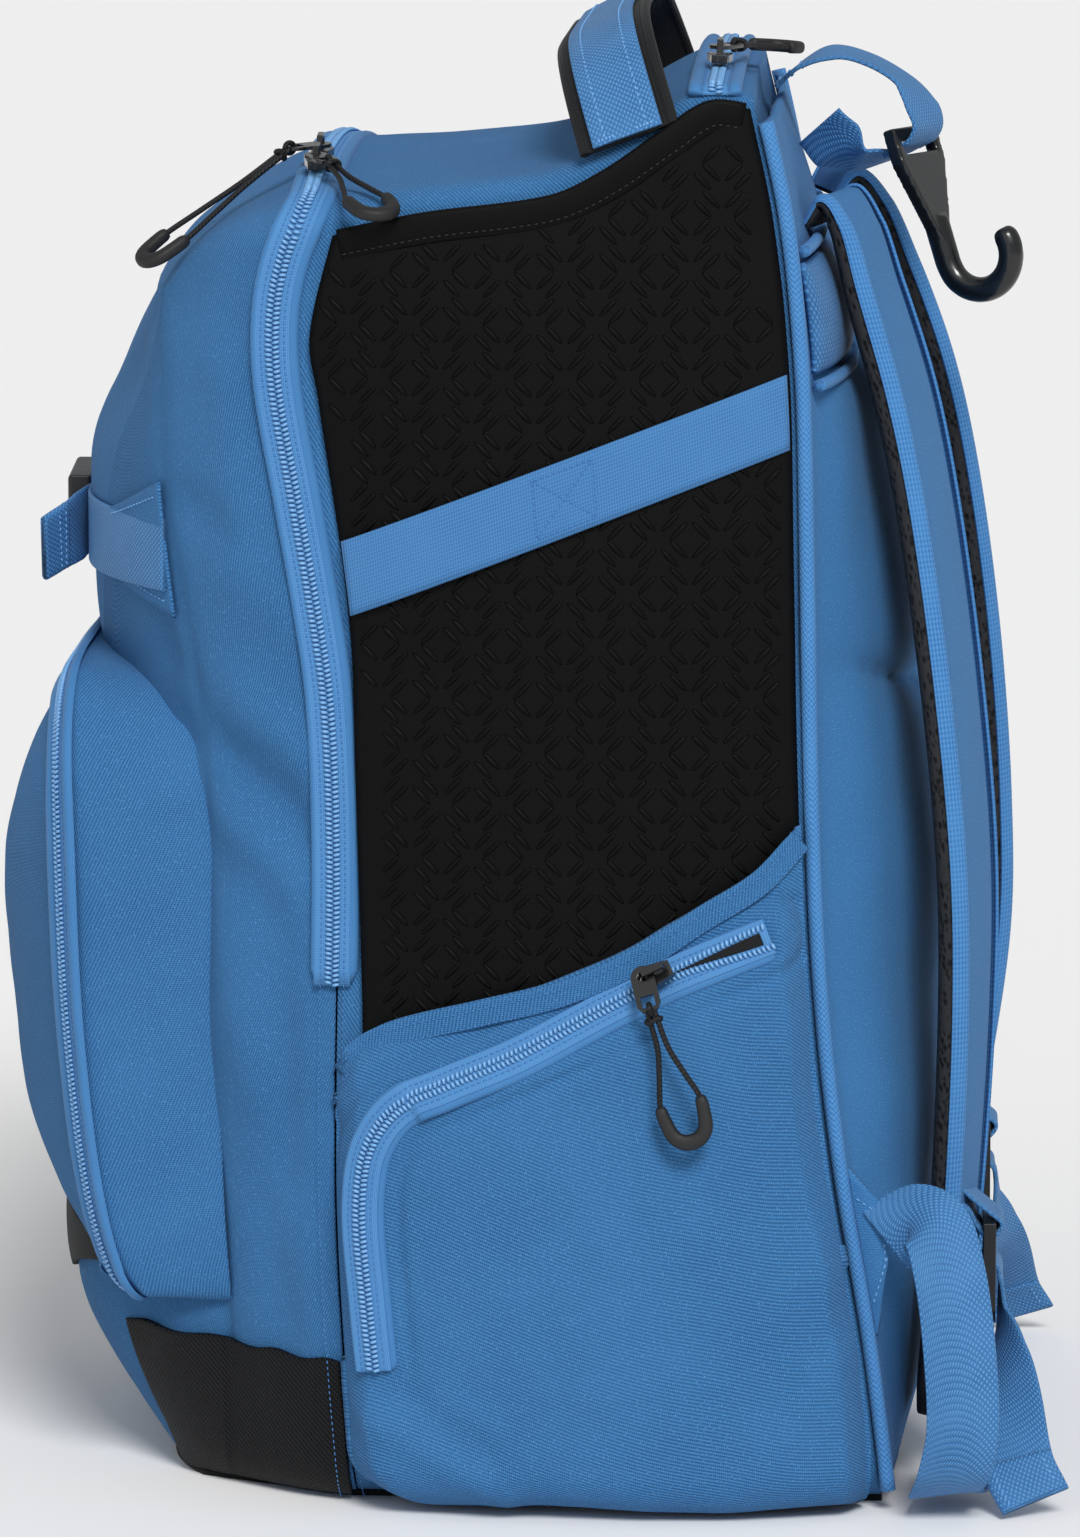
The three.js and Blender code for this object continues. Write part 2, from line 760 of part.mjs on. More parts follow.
// A boot wraps the lower front corner of one side.
const bootInner = 92; // its edge on the front face, from the middle
const bootSide = 0.6; // share of its length on the side
const bootRows = [
  { turn: 0.33, up: 0 },
  { turn: 0.65, up: 0 },
  { turn: 1, up: 0 },
  { turn: 1, up: 0.4 },
  { turn: 1, up: 1 },
];
function bootPoint(u, row, out) {
  const turn = (row.turn * Math.PI) / 2;
  const corner = shellBottom + bottomRadius * (1 - Math.cos(turn));
  const z = mix(corner, bootHigh + 4 * u, row.up);
  const inset = bottomRadius * (1 - Math.sin(turn));
  const wide = frontHalfWidth(z);
  const low = z - out * Math.cos(turn);
  const side = out * Math.sin(turn);
  if (u < bootSide) {
    const front = frontSeamAt(z);
    const y = mix(zipAt(z) - 1.5, front, u / bootSide);
    const at = 1 + (y - zipAt(z)) / (front - zipAt(z));
    const lead = clamp((u / bootSide - 0.75) / 0.25, 0, 1) * 0.6;
    return [widthAt(at, z) - inset + side, y - out * lead, low];
  }
  const t = (u - bootSide) / (1 - bootSide);
  const x = mix(wide, bootInner, t);
  return [
    x - inset * (1 - t) + side * (1 - t),
    faceAt(x, z) - out,
    low,
  ];
}
function boot(side) {
  return sheet(9, bootRows.length, (u, v, face) => {
    const row = bootRows[Math.round(v * (bootRows.length - 1))];
    const [x, y, z] = bootPoint(u, row, face ? -2 : bootThickness + seamGap);
    return [x * side, y, z];
  });
}

// Sleeve for a bat on one side: a neoprene wall with room behind it, open at its top
const sleeveInset = 1.6;
const sleeveBulge = (u, v) =>
  Math.sin(Math.PI * clamp(u, 0, 1)) ** 0.7 *
  Math.sin(Math.PI * clamp(0.06 + 0.86 * v, 0, 1)) ** 0.5;
function sleeveOut(y, z) {
  const front = sleeveFrontAt(z);
  const back = rearAt(z) - sleeveInset;
  const top = sideSeamAt((y - rearAt(z)) / (zipAt(z) - rearAt(z)));
  const u = (y - front) / (back - front);
  const v = (z - sleeveHemUp) / (top - sleeveHemUp);
  return seamGap + sleeveRoom * sleeveBulge(u, v);
}
function sleeve(side) {
  return sheet(8, 9, (u, v, face) => {
    let z = mix(sleeveHemUp, height * 0.9, v);
    let y = 0;
    for (let pass = 0; pass < 6; pass += 1) {
      y = mix(sleeveFrontAt(z), rearAt(z) - sleeveInset, u);
      const station = (y - rearAt(z)) / (zipAt(z) - rearAt(z));
      z = mix(sleeveHemUp, sideSeamAt(clamp(station, 0, 1)) - 1, v);
    }
    const [x] = sidePoint(y, z);
    const out = sleeveOut(y, z) + (face ? 0 : sleeveWall);
    return [(x + out) * side, y, z];
  });
}

// Side pocket: zipped, over the lower part of the sleeve
const sidePocketLow = 1;
function pocketPlace(u, v) {
  const foot = 0.13; // share of the pocket's height in its rounded lower corners
  let z = mix(sidePocketLow, pocketEdgeAt(0), v);
  let y = 0;
  const rounding = v < foot ? 1 - Math.sqrt(1 - (1 - v / foot) ** 2) : 0;
  for (let pass = 0; pass < 6; pass += 1) {
    const front = Math.max(zipAt(z) + 1, -1.02 * halfDepth);
    const back = rearAt(z) - 0.8;
    y = mix(front + 34 * rounding, back - 8 * rounding, u);
    z = mix(sidePocketLow, pocketEdgeAt(y), v);
  }
  return [y, z];
}
function pocketOut(u, v) {
  const edge = Math.min(u, 1 - u, 4 * v) * 2;
  const wall = clamp(edge / 0.09, 0, 1) ** 0.5 * 0.55;
  const crown = Math.sin(Math.PI * clamp(u, 0, 1)) ** 0.8 * 0.45;
  const top = clamp((1 - v) / 0.16, 0, 1) ** 0.6;
  return pocketBulge * (wall + crown) * top;
}
function sidePocketPoint(u, v, inward) {
  const [y, z] = pocketPlace(u, v);
  const [x] = sidePoint(y, z);
  const overSleeve = sleeveOut(y, z) + sleeveWall;
  const onSleeve = u > 0.02 && v > 0.01;
  const floor = onSleeve ? overSleeve + 2.2 : z < 30 ? 1.9 : seamGap;
  const out = Math.max(pocketOut(u, v), floor) + seamGap + pocketWall - inward;
  const rise = v < 0.01 ? inward : 0;
  return [x + out, y, z + rise];
}
const pocketColumns = [0, 0.03, 0.12, 0.32, 0.54, 0.74, 0.9, 0.98, 1];
const pocketRows = [0, 0.012, 0.05, 0.2, 0.45, 0.68, 0.83, 0.92, 1];
function sidePocket(side) {
  return sheet(pocketColumns.length, pocketRows.length, (u, v, face) => {
    const column = pocketColumns[Math.round(u * (pocketColumns.length - 1))];
    const row = pocketRows[Math.round(v * (pocketRows.length - 1))];
    const [x, y, z] = sidePocketPoint(column, row, face ? pocketWall : 0);
    return [x * side, y, z];
  });
}

// Elastic band over the sleeve
const elasticFront = 0.666;
const elasticBack = 0.784;
function elastic(side) {
  return sheet(9, 2, (u, v, face) => {
    const middle = height * mix(elasticFront, elasticBack, u ** 1.02);
    const z = middle + elasticWidth * (v - 0.5);
    const y = mix(sleeveFrontAt(z) + 1, rearAt(z) - sleeveInset - 0.5, u);
    const [x] = sidePoint(y, z);
    const out =
      sleeveOut(y, z) +
      sleeveWall +
      seamGap +
      (face ? 0.2 : 0.2 + elasticThickness);
    return [(x + out) * side, y, z];
  });
}

// Piping along the rear seam
function piping(side) {
  const low = 14;
  const ring = spread(0, Math.PI * 2, 6).slice(0, 5);
  return loft(
    spread(low, height * 0.985, 9).map((z) =>
      ring.map((turn) => [
        (widthAt(0, z) + 1.4 + pipingRadius * Math.cos(turn)) * side,
        rearAt(z) + 3.4 + pipingRadius * Math.sin(turn),
        z,
      ]),
    ),
  );
}

// Zips
const mainZipEnd = 0.45; // round mark where the main zip's teeth end
const crossing = (rounds) => [
  ...rounds,
  ...rounds
    .slice(0, -1)
    .reverse()
    .map((round) => 2 - round),
];
function mainZipSurface(whole, beside) {
  const round = whole > 1 ? 2 - whole : whole;
  const station = 1 + (beside - 1.5) / -(halfDepth * 2);
  const [x, y, z] = shellPoint(Math.min(station, 1), round);
  const nudge = station > 1 ? (station - 1) * -halfDepth * 2 : 0;
  return [whole > 1 ? -x : x, y + nudge, z];
}
const lifted = (section, by) => section.map(([a, o]) => [a, o + by]);
const mainZipFrame = surfaceFrame(mainZipSurface, 0, -1);
const mainZipMarks = crossing(halfRounds.filter((r) => r >= mainZipEnd));
const mainZipLift = seamGap + 1.3;
piece(
  "main_zip",
  sweep(mainZipMarks, mainZipFrame, lifted(zipSection, mainZipLift)),
  blueZip,
);

const rearZipStation = 0.085;
function rearZipSurface(whole, beside) {
  const round = whole > 1 ? 2 - whole : whole;
  const station = clamp(rearZipStation - beside / (halfDepth * 2), 0, 1);
  const [x, y, z] = shellPoint(station, round);
  return [whole > 1 ? -x : x, y, z];
}
const rearZipFrame = surfaceFrame(rearZipSurface, 0, -1);
const rearZipMarks = crossing([0.742, 0.765, 0.8, 0.85, 0.9, 0.95, 1]);
const rearZipLift = seamGap + 0.2;
piece(
  "rear_zip",
  cutBack(sweep(rearZipMarks, rearZipFrame, lifted(zipSection, rearZipLift)), mainFill),
  blueZip,
);

// Front pocket's zip: up one side, over the top and down the other
const pocketZipShare = 0.955;
function pocketZipSurface(t, beside) {
  const half = pocketOutline(pocketZipShare - beside / 125);
  const start = 4;
  const rows = half.slice(start);
  const whole = [...rows, ...rows.slice(0, -1).reverse().map(([x, z]) => [-x, z])];
  const line = new THREE.CatmullRomCurve3(
    whole.map(([x, z]) => new THREE.Vector3(x, 0, z)),
    false,
    "centripetal",
  );
  const p = line.getPoint(clamp(t, 0, 1));
  return [p.x, pocketFront(pocketZipShare - beside / 125, p.z), p.z];
}
function pocketZipFrame(t) {
  const clipped = clamp(t, 0.006, 0.994);
  return surfaceFrame(pocketZipSurface, 0, 1)(clipped);
}
const pocketZipLift = seamGap + 0.2;
piece(
  "pocket_zip",
  cutBack(sweep(16, pocketZipFrame, lifted(zipSection, pocketZipLift)), pocketFill),
  blueZip,
);

// The zip's line on the side pocket, as a place in the pocket's own u and v
function pocketCoordinates(y, z) {
  const v = clamp((z - sidePocketLow) / (pocketEdgeAt(y) - sidePocketLow), 0, 1);
  const front = Math.max(zipAt(z) + 1, -1.02 * halfDepth);
  const back = rearAt(z) - 0.8;
  return [clamp((y - front) / (back - front), 0, 1), v];
}
const sideZipLift = seamGap + 2.6;
const sideZipCurve = new THREE.CatmullRomCurve3(
  sideZipLine.map(
    (row) => new THREE.Vector3(0, row.back * halfDepth, row.up * height),
  ),
  false,
  "centripetal",
);
function sideZipFrame(side) {
  const surface = (t, beside) => {
    const p = sideZipCurve.getPoint(clamp(t, 0, 1));
    const ahead = sideZipCurve.getTangent(clamp(t, 0, 1));
    const y = p.y + ahead.z * beside;
    const z = p.z - ahead.y * beside;
    const [u, v] = pocketCoordinates(y, z);
    return [sidePocketPoint(u, v, 0)[0], y, z];
  };
  return (t) => {
    const clipped = clamp(t, 0.006, 0.994);
    const { place, across, out } = surfaceFrame(surface, 0, 1)(clipped);
    const flip = out[0] < 0 ? -1 : 1;
    return {
      place: [place[0] * side, place[1], place[2]],
      across: [across[0] * side, across[1], across[2]],
      out: [out[0] * flip * side, out[1] * flip, out[2] * flip],
    };
  };
}
function sideZip(side) {
  return sweep(14, sideZipFrame(side), lifted(zipSection, sideZipLift));
}

// Padded back: one quilted panel over the back wall, with a roll pad sewn into its upper valley
const panelGap = 1.5; // panel to the wall behind it
const panelLow = 0.022;
const panelHigh = 0.985;
const rollLow = 0.808;
const rollHigh = 0.886;
const grooveUp = 0.565; // sewn groove between the lumbar and the upper part
const backPanelRows = [
  0.022, 0.032, 0.06, 0.16, 0.29, 0.42, 0.53, 0.565, 0.6, 0.7, 0.77, 0.797,
  0.803, 0.892, 0.898, 0.93, 0.965, 0.985,
];
const rounded = (distance, reach) =>
  Math.sqrt(1 - (1 - clamp(distance / reach, 0, 1)) ** 2);
function padDepth(x, z) {
  const up = z / height;
  const wide = widthAt(0, z) - 5;
  const wall = backAt(x, z, 0) + panelGap;
  const full = backAt(x, z, 1) - wall;
  const side = rounded(wide - Math.abs(x), 26);
  const groove = mix(0.35, 1, rounded(Math.abs(up - grooveUp), 0.035));
  const below = rounded(0.8025 - up, 0.03);
  const above = rounded(up - 0.8925, 0.025);
  const valley = up < 0.8 ? below : up > 0.895 ? above : 0;
  const end = Math.min(rounded(up - panelLow, 0.03), rounded(panelHigh - up, 0.02));
  return wall + 2 + Math.max(full - 2, 0) * side * groove * valley * end;
}
const panelColumns = [-1, -0.965, -0.85, -0.45, 0, 0.45, 0.85, 0.965, 1];
function backPanel() {
  const rows = backPanelRows;
  return sheet(panelColumns.length, rows.length, (u, v, face) => {
    const z = rows[Math.round(v * (rows.length - 1))] * height;
    const column = panelColumns[Math.round(u * (panelColumns.length - 1))];
    const x = column * (widthAt(0, z) - 5);
    const wall = backAt(x, z, 0) + panelGap;
    return [x, face ? wall : padDepth(x, z), z];
  });
}
piece("back_panel", cutBack(backPanel(), mainFill), blueCloth);
const rollThickness = 4.5;
function rollPad() {
  const low = rollLow * height;
  const high = rollHigh * height;
  return sheet(7, 6, (u, v, face) => {
    const z = mix(low, high, v);
    const x = mix(-1, 1, u) * (widthAt(0, z) - 9);
    const puff =
      rounded(Math.min(v, 1 - v), 0.5) * rounded(Math.min(u, 1 - u), 0.08);
    const seat = backAt(x, z, 0) + panelGap + 3;
    return [x, seat + (face ? 0 : 1 + rollThickness * puff), z];
  });
}
piece("back_roll_pad", rollPad(), blueCloth);

// Shoulder straps. "away" is how far a strap's middle lies behind the origin, "apart" a share of
// strapRoot, "wide" and "thick" shares of its width and thickness, and "far" of the left strap's standoff.
const strapRoute = [
  { up: 0.905, away: 87.6, apart: 1, wide: 0.86, thick: 0.3, far: 0 },
  { up: 0.919, away: 93, apart: 1.02, wide: 0.88, thick: 0.5, far: 0.1 },
  { up: 0.9, away: 98.5, apart: 1.05, wide: 0.9, thick: 0.75, far: 0.4 },
  { up: 0.855, away: 105, apart: 1.14, wide: 0.94, thick: 0.95, far: 0.7 },
  { up: 0.784, away: 115.5, apart: 1.26, wide: 1, thick: 1, far: 0.9 },
  { up: 0.708, away: 123.5, apart: 1.36, wide: 1, thick: 1, far: 1 },
  { up: 0.582, away: 132.5, apart: 1.48, wide: 1, thick: 1, far: 1 },
  { up: 0.45, away: 138.5, apart: 1.52, wide: 0.97, thick: 1, far: 0.9 },
  { up: 0.348, away: 139, apart: 1.5, wide: 0.9, thick: 1, far: 0.9 },
  { up: 0.19, away: 135.5, apart: 1.46, wide: 0.78, thick: 0.95, far: 0.05 },
  { up: 0.09, away: 131, apart: 1.5, wide: 0.66, thick: 0.85, far: 0 },
  { up: 0.0485, away: 127.5, apart: 1.52, wide: 0.5, thick: 0.6, far: 0 },
];
const strapSection = [
  [-0.5, -0.14],
  [-0.4, -0.45],
  [0.4, -0.45],
  [0.5, -0.14],
  [0.5, 0.14],
  [0.4, 0.42],
  [0, 0.5],
  [-0.4, 0.42],
  [-0.5, 0.14],
];
const farStrapStandoff = 7.5; // the left strap hangs this much further out
function strapLine(side) {
  const extra = side < 0 ? farStrapStandoff : 0;
  return new THREE.CatmullRomCurve3(
    strapRoute.map(
      (row) =>
        new THREE.Vector3(
          strapRoot * row.apart * side,
          row.away + extra * row.far,
          row.up * height,
        ),
    ),
    false,
    "centripetal",
  );
}
const turnOut = 0.2; // the strap's outer face turns this much to its side
const lockUp = 78;
const lockAway = 146.5; // inner face of the ladder lock
const lockApart = 92;
function strap(side) {
  const line = strapLine(side);
  const rows = strapRoute.map((row, i) => ({
    ...row,
    t: i / (strapRoute.length - 1),
  }));
  const wideAt = curve(rows, "t", "wide", 1, strapWidth);
  const thickAt = curve(rows, "t", "thick", 1, strapThickness);
  const pad = loft(
    spread(0, 1, 17).map((t) => {
      const forward = line.getTangent(t);
      const across = new THREE.Vector3(1, -turnOut * side, 0);
      across.addScaledVector(forward, -across.dot(forward)).normalize();
      const out = new THREE.Vector3().crossVectors(across, forward).negate();
      const place = line.getPoint(t);
      const round = clamp((1 - t) / 0.05, 0, 1) ** 0.5;
      const wide = wideAt(t) * mix(0.35, 1, round);
      return strapSection.map(([a, o]) =>
        place
          .clone()
          .addScaledVector(across, a * wide)
          .addScaledVector(out, o * thickAt(t))
          .toArray(),
      );
    }),
  );
  // A tab of webbing sewn to the strap holds the ladder lock by its top bar.
  const tabRows = [
    [-13, 34],
    [-3, 25],
    [2.2, 20.8],
    [6.6, 16.5],
    [2.2, 11.6],
    [-2.2, 16],
    [-5.5, 22],
    [-13, 27],
  ].map(([out, up]) => ({
    x: lockApart * side,
    y: lockAway + out,
    z: lockUp + up,
    wideX: 1,
    wideY: 0,
    wideZ: 0,
  }));
  return fused(pad, sweep(12, routeFrame(tabRows), bandSection(webWidth - 1, 1.4)));
}

// Ladder lock on the outer face of a strap's lower end
function lockShape() {
  const shape = new THREE.Shape();
  const [w, h] = [lockWidth / 2, lockHeight / 2];
  const cut = 5;
  shape.moveTo(-w, -h + cut);
  shape.lineTo(-w + cut, -h);
  shape.lineTo(w - cut, -h);
  shape.lineTo(w, -h + cut);
  shape.lineTo(w - 2, h);
  shape.lineTo(-w + 2, h);
  shape.closePath();
  const slot = webWidth / 2 + 1.6;
  [
    [-13.5, -6.5],
    [-1.5, 6.5],
    [10, 14.5],
  ].forEach(([low, high]) => {
    const hole = new THREE.Path();
    hole.moveTo(-slot, low);
    hole.lineTo(-slot, high);
    hole.lineTo(slot, high);
    hole.lineTo(slot, low);
    hole.closePath();
    shape.holes.push(hole);
  });
  return shape;
}
function ladderLock(side) {
  const geometry = new THREE.ExtrudeGeometry(lockShape(), {
    depth: lockThickness,
    bevelEnabled: false,
  });
  geometry.rotateX(Math.PI / 2);
  geometry.translate(lockApart * side, lockAway + lockThickness, lockUp);
  const name = side > 0 ? "ladder_lock_right" : "ladder_lock_left";
  piece(name, geometry, blackPlastic);
}

// Webbing of one strap: from the wing on the bag, down, round the strap's end, through the lock,
// and its free tail
const webbingRoute = [
  { x: 148.6, y: 112, z: 98, wideX: 0, wideY: -0.25, wideZ: 1 },
  { x: 154, y: 121, z: 107, wideX: -0.3, wideY: 0.25, wideZ: 0.9 },
  { x: 163, y: 129, z: 106, wideX: -0.35, wideY: 0.8, wideZ: 0.5 },
  { x: 171, y: 134, z: 92, wideX: -0.2, wideY: 1, wideZ: 0.1 },
  { x: 176, y: 138, z: 62, wideX: -0.12, wideY: 1, wideZ: 0 },
  { x: 176, y: 139, z: 36, wideX: -0.1, wideY: 1, wideZ: 0.05 },
  { x: 170, y: 136, z: 19, wideX: 0, wideY: 1, wideZ: 0.1 },
  { x: 155, y: 133, z: 9.5, wideX: 0.2, wideY: 1, wideZ: 0.2 },
  { x: 133, y: 137, z: 9, wideX: 0.5, wideY: 0.8, wideZ: -0.2 },
  { x: 110, y: 142, z: 17, wideX: 0.9, wideY: 0.3, wideZ: -0.4 },
  { x: 95, y: 144.3, z: 36, wideX: 1, wideY: 0, wideZ: -0.1 },
  { x: 92, y: 144.6, z: 62, wideX: 1, wideY: 0, wideZ: 0 },
  { x: 92, y: 144.8, z: 74, wideX: 1, wideY: 0, wideZ: 0 },
  { x: 92, y: 146.1, z: 79.4, wideX: 1, wideY: 0, wideZ: 0 },
  { x: 92, y: 148.7, z: 81.4, wideX: 1, wideY: 0, wideZ: 0 },
  { x: 92, y: 151.5, z: 79.4, wideX: 1, wideY: 0, wideZ: 0 },
  { x: 92, y: 152.9, z: 74, wideX: 1, wideY: 0, wideZ: 0 },
  { x: 94, y: 153.5, z: 60, wideX: 1, wideY: 0.1, wideZ: 0 },
  { x: 106, y: 154.5, z: 46, wideX: 0.8, wideY: 0.5, wideZ: 0.3 },
  { x: 128, y: 156, z: 32, wideX: 0.3, wideY: 0.9, wideZ: 0.25 },
  { x: 146, y: 159, z: 17, wideX: 0.1, wideY: 1, wideZ: 0.1 },
  { x: 154, y: 165, z: 6.6, wideX: 0, wideY: 1, wideZ: 0 },
];
function webbing(side) {
  const rows = webbingRoute.map((row) => ({
    ...row,
    x: row.x * side,
    wideX: row.wideX * side,
  }));
  return sweep(31, routeFrame(rows), bandSection(webWidth, webThickness));
}

// Wing that anchors the webbing at the lower rear corner: a flat three-cornered piece of cloth
function wing(side) {
  const seam = 7.5; // its edge along the piping, behind the rear seam
  const thick = 2;
  const rows = [0.127, 0.17, 0.21, 0.248].map((up) => up * height);
  const shape = new THREE.Shape();
  shape.moveTo(rearAt(rows[0]) + seam, rows[0]);
  shape.lineTo(112, 0.2 * height);
  rows
    .slice(1)
    .reverse()
    .forEach((z) => shape.lineTo(rearAt(z) + seam, z));
  shape.closePath();
  const geometry = new THREE.ExtrudeGeometry(shape, {
    depth: thick,
    bevelEnabled: false,
  });
  const turn = new THREE.Matrix4().makeBasis(
    new THREE.Vector3(0, 1, 0),
    new THREE.Vector3(0, 0, 1),
    new THREE.Vector3(1, 0, 0),
  );
  geometry.applyMatrix4(turn);
  const inner = widthAt(0, rows[1]) - 1.5;
  geometry.translate(side > 0 ? inner : -inner - thick, 0, 0);
  return geometry;
}

const sides = [
  { side: 1, word: "right" },
  { side: -1, word: "left" },
];
for (const { side, word } of sides) {
  piece(`boot_${word}`, cutBack(boot(side), mainFill, frontFill), blackCloth);
  piece(`sleeve_${word}`, sleeve(side), blackNeoprene);
  piece(`side_pocket_${word}`, sidePocket(side), blueCloth);
  piece(`elastic_${word}`, elastic(side), blueWeb);
  piece(`piping_${word}`, piping(side), blueWeb);
  piece(`side_zip_${word}`, sideZip(side), blueZip);
  piece(`shoulder_strap_${word}`, strap(side), blueCloth);
  ladderLock(side);
  piece(`strap_webbing_${word}`, webbing(side), blueWeb);
  piece(`strap_wing_${word}`, wing(side), blueCloth);
}

// Haul handle: a black pad with blue webbing on it, over the top from side to side
const handleSquare = 7;
function handleFrame(extra) {
  const span = widthAt(0.33, height * 0.95) + 2.5;
  const base = sideSeamAt(0.33) + 8;
  return (t) => {
    const s = Math.sin(mix(-Math.PI / 2, Math.PI / 2, t));
    const x = span * s;
    const rise = handleRise * (1 - Math.abs(s) ** handleSquare);
    const slope =
      -handleRise * handleSquare * Math.abs(s) ** (handleSquare - 1) * Math.sign(s);
    const lean = handleLean / handleRise;
    const forward = vector([span, -slope * lean, slope]).normalize();
    const across = vector([0, 0.88, 0.47]);
    across.addScaledVector(forward, -across.dot(forward)).normalize();
    const out = new THREE.Vector3().crossVectors(forward, across);
    const place = vector([x, handleStation - rise * lean, base + rise]);
    place.addScaledVector(out, extra);
    return {
      place: place.toArray(),
      across: across.toArray(),
      out: out.toArray(),
    };
  };
}
piece(
  "handle_pad",
  sweep(16, handleFrame(0), flatSection(handleWidth, handlePadThickness)),
  blackCloth,
);
piece(
  "handle_webbing",
  sweep(
    16,
    handleFrame(handlePadThickness + 0.7),
    flatSection(webWidth, webThickness),
  ),
  blueWeb,
);

// Fence hook: a slotted plate and a bent rod, hung on a loop of webbing at the top of the back
const hookSlotLow = 5; // plate above the slot
const hookSlotHigh = 5;
const hookTop = { x: 6, y: 117.5, z: 476.5 };
const hookLean = 0.32; // shank leans out, in radians
const hookTurn = -0.42; // plate turned towards the wearer's right
const hookGroup = new THREE.Group();
hookGroup.position.set(hookTop.x, hookTop.y, hookTop.z);
hookGroup.rotation.set(hookLean, 0, hookTurn, "ZXY");
backpack.add(hookGroup);
function hookPlate() {
  const w = hookPlateWidth / 2;
  const neck = hookRod;
  const shape = new THREE.Shape();
  shape.moveTo(-w, 0);
  shape.lineTo(-w, -12);
  shape.lineTo(-neck, -hookPlateLength - 12);
  shape.lineTo(neck, -hookPlateLength - 12);
  shape.lineTo(w, -12);
  shape.lineTo(w, 0);
  shape.closePath();
  const hole = new THREE.Path();
  const slot = webWidth / 2 + 1.5;
  hole.moveTo(-slot, -hookSlotLow - hookSlotHigh);
  hole.lineTo(slot, -hookSlotLow - hookSlotHigh);
  hole.lineTo(slot, -hookSlotLow);
  hole.lineTo(-slot, -hookSlotLow);
  hole.closePath();
  shape.holes.push(hole);
  const plate = new THREE.ExtrudeGeometry(shape, {
    depth: hookPlateThickness,
    bevelEnabled: false,
  });
  plate.rotateX(Math.PI / 2);
  plate.translate(0, hookPlateThickness / 2, 0);
  return plate;
}
function hookRodPath() {
  const path = [];
  const start = -hookPlateLength - 4;
  path.push(new THREE.Vector3(0, 0, start));
  path.push(new THREE.Vector3(0, 0, -hookShank - 4));
  spread(Math.PI, Math.PI * 2.15, 9).forEach((turn) => {
    path.push(
      new THREE.Vector3(
        0,
        hookBend * (1 + Math.cos(turn)),
        -hookShank - 6 + hookBend * Math.sin(turn) * 1.05,
      ),
    );
  });
  return new THREE.CatmullRomCurve3(path, false, "centripetal");
}
function hookRodSolid() {
  const line = hookRodPath();
  const ring = spread(0, Math.PI * 2, 9).slice(0, 8);
  return loft(
    spread(0, 1, 13).map((t) => {
      const forward = line.getTangent(t);
      const across = new THREE.Vector3(1, 0, 0);
      const out = new THREE.Vector3().crossVectors(across, forward);
      const tip = clamp((1 - t) / 0.04, 0, 1) ** 0.5;
      const place = line.getPoint(t);
      return ring.map((turn) =>
        place
          .clone()
          .addScaledVector(across, hookRod * Math.cos(turn) * mix(0.4, 1, tip))
          .addScaledVector(out, hookRod * Math.sin(turn) * mix(0.4, 1, tip))
          .toArray(),
      );
    }),
  );
}
piece("fence_hook", fused(hookPlate(), hookRodSolid()), blackPlastic, hookGroup);

// Webbing loop: from the bag, through the hook's slot, over and back to the bag
hookGroup.updateMatrix();
const slotUp = -hookSlotLow - 1.5;
function inSlot(away, up) {
  const p = new THREE.Vector3(0, away, slotUp + up).applyMatrix4(hookGroup.matrix);
  const w = new THREE.Vector3(1, 0, 0).transformDirection(hookGroup.matrix);
  return { x: p.x, y: p.y, z: p.z, wideX: w.x, wideY: w.y, wideZ: w.z };
}
const loopRoute = [
  { x: 9, y: 85.3, z: 477, wideX: 0.4, wideY: -0.25, wideZ: 1 },
  { x: 9, y: 92, z: 470, wideX: 0.5, wideY: 0.1, wideZ: 0.9 },
  { x: 8, y: 99, z: 465, wideX: 0.9, wideY: -0.2, wideZ: 0.4 },
  inSlot(-9, -1.5),
  inSlot(-3.5, -0.6),
  inSlot(0, 0),
  inSlot(3.5, 0.8),
  inSlot(7.5, 5),
  inSlot(7, 14),
  { x: 5, y: 117, z: 492, wideX: 0.95, wideY: -0.25, wideZ: 0 },
  { x: 3, y: 104, z: 500, wideX: 0.98, wideY: 0, wideZ: -0.1 },
  { x: 2, y: 91, z: 503, wideX: 1, wideY: 0.1, wideZ: -0.1 },
  { x: 2, y: 80, z: 499, wideX: 1, wideY: 0, wideZ: 0 },
  { x: 2, y: 69.8, z: 491, wideX: 1, wideY: 0, wideZ: 0 },
];
piece(
  "hook_loop",
  sweep(25, routeFrame(loopRoute), bandSection(webWidth, webThickness)),
  blueWeb,
);

// Front compression strap with its free end, and its buckle
function frontStrapBand() {
  const reach = frontHalfWidth(frontStrapUp);
  return sheet(17, 2, (u, v, face) => {
    const x = mix(-reach, reach, u) * 0.985;
    const z = frontStrapUp + webWidth * (v - 0.5);
    const out = seamGap + (face ? 0 : webThickness);
    return [x, faceAt(x, z) - out - 0.9, z];
  });
}
const tailStart = 6;
const tailAway = faceAt(tailStart, frontStrapUp) - seamGap - webThickness - 0.6;
const frontTailRoute = [
  { x: tailStart, y: tailAway, z: 334, wideX: 0, wideY: 0, wideZ: 1 },
  { x: 16, y: tailAway - 1.5, z: 333.6, wideX: 0, wideY: 0, wideZ: 1 },
  { x: 26, y: tailAway - 4, z: 332, wideX: 0, wideY: 0, wideZ: 1 },
  { x: 36, y: tailAway - 8, z: 330, wideX: 0.1, wideY: 0.1, wideZ: 1 },
  { x: 45, y: tailAway - 13.5, z: 327, wideX: 0.1, wideY: 0.15, wideZ: 1 },
];
const frontTail = sweep(
  10,
  routeFrame(frontTailRoute),
  bandSection(webWidth - 0.4, webThickness),
);
piece("front_strap", fused(frontStrapBand(), frontTail), blueWeb);
const buckleLength = 46;
const buckleHeight = 32;
const buckleThickness = 9;
const buckleShift = -30; // middle of the buckle, towards the wearer's left
const frontStrapFace = faceAt(buckleShift, frontStrapUp) - seamGap - webThickness;
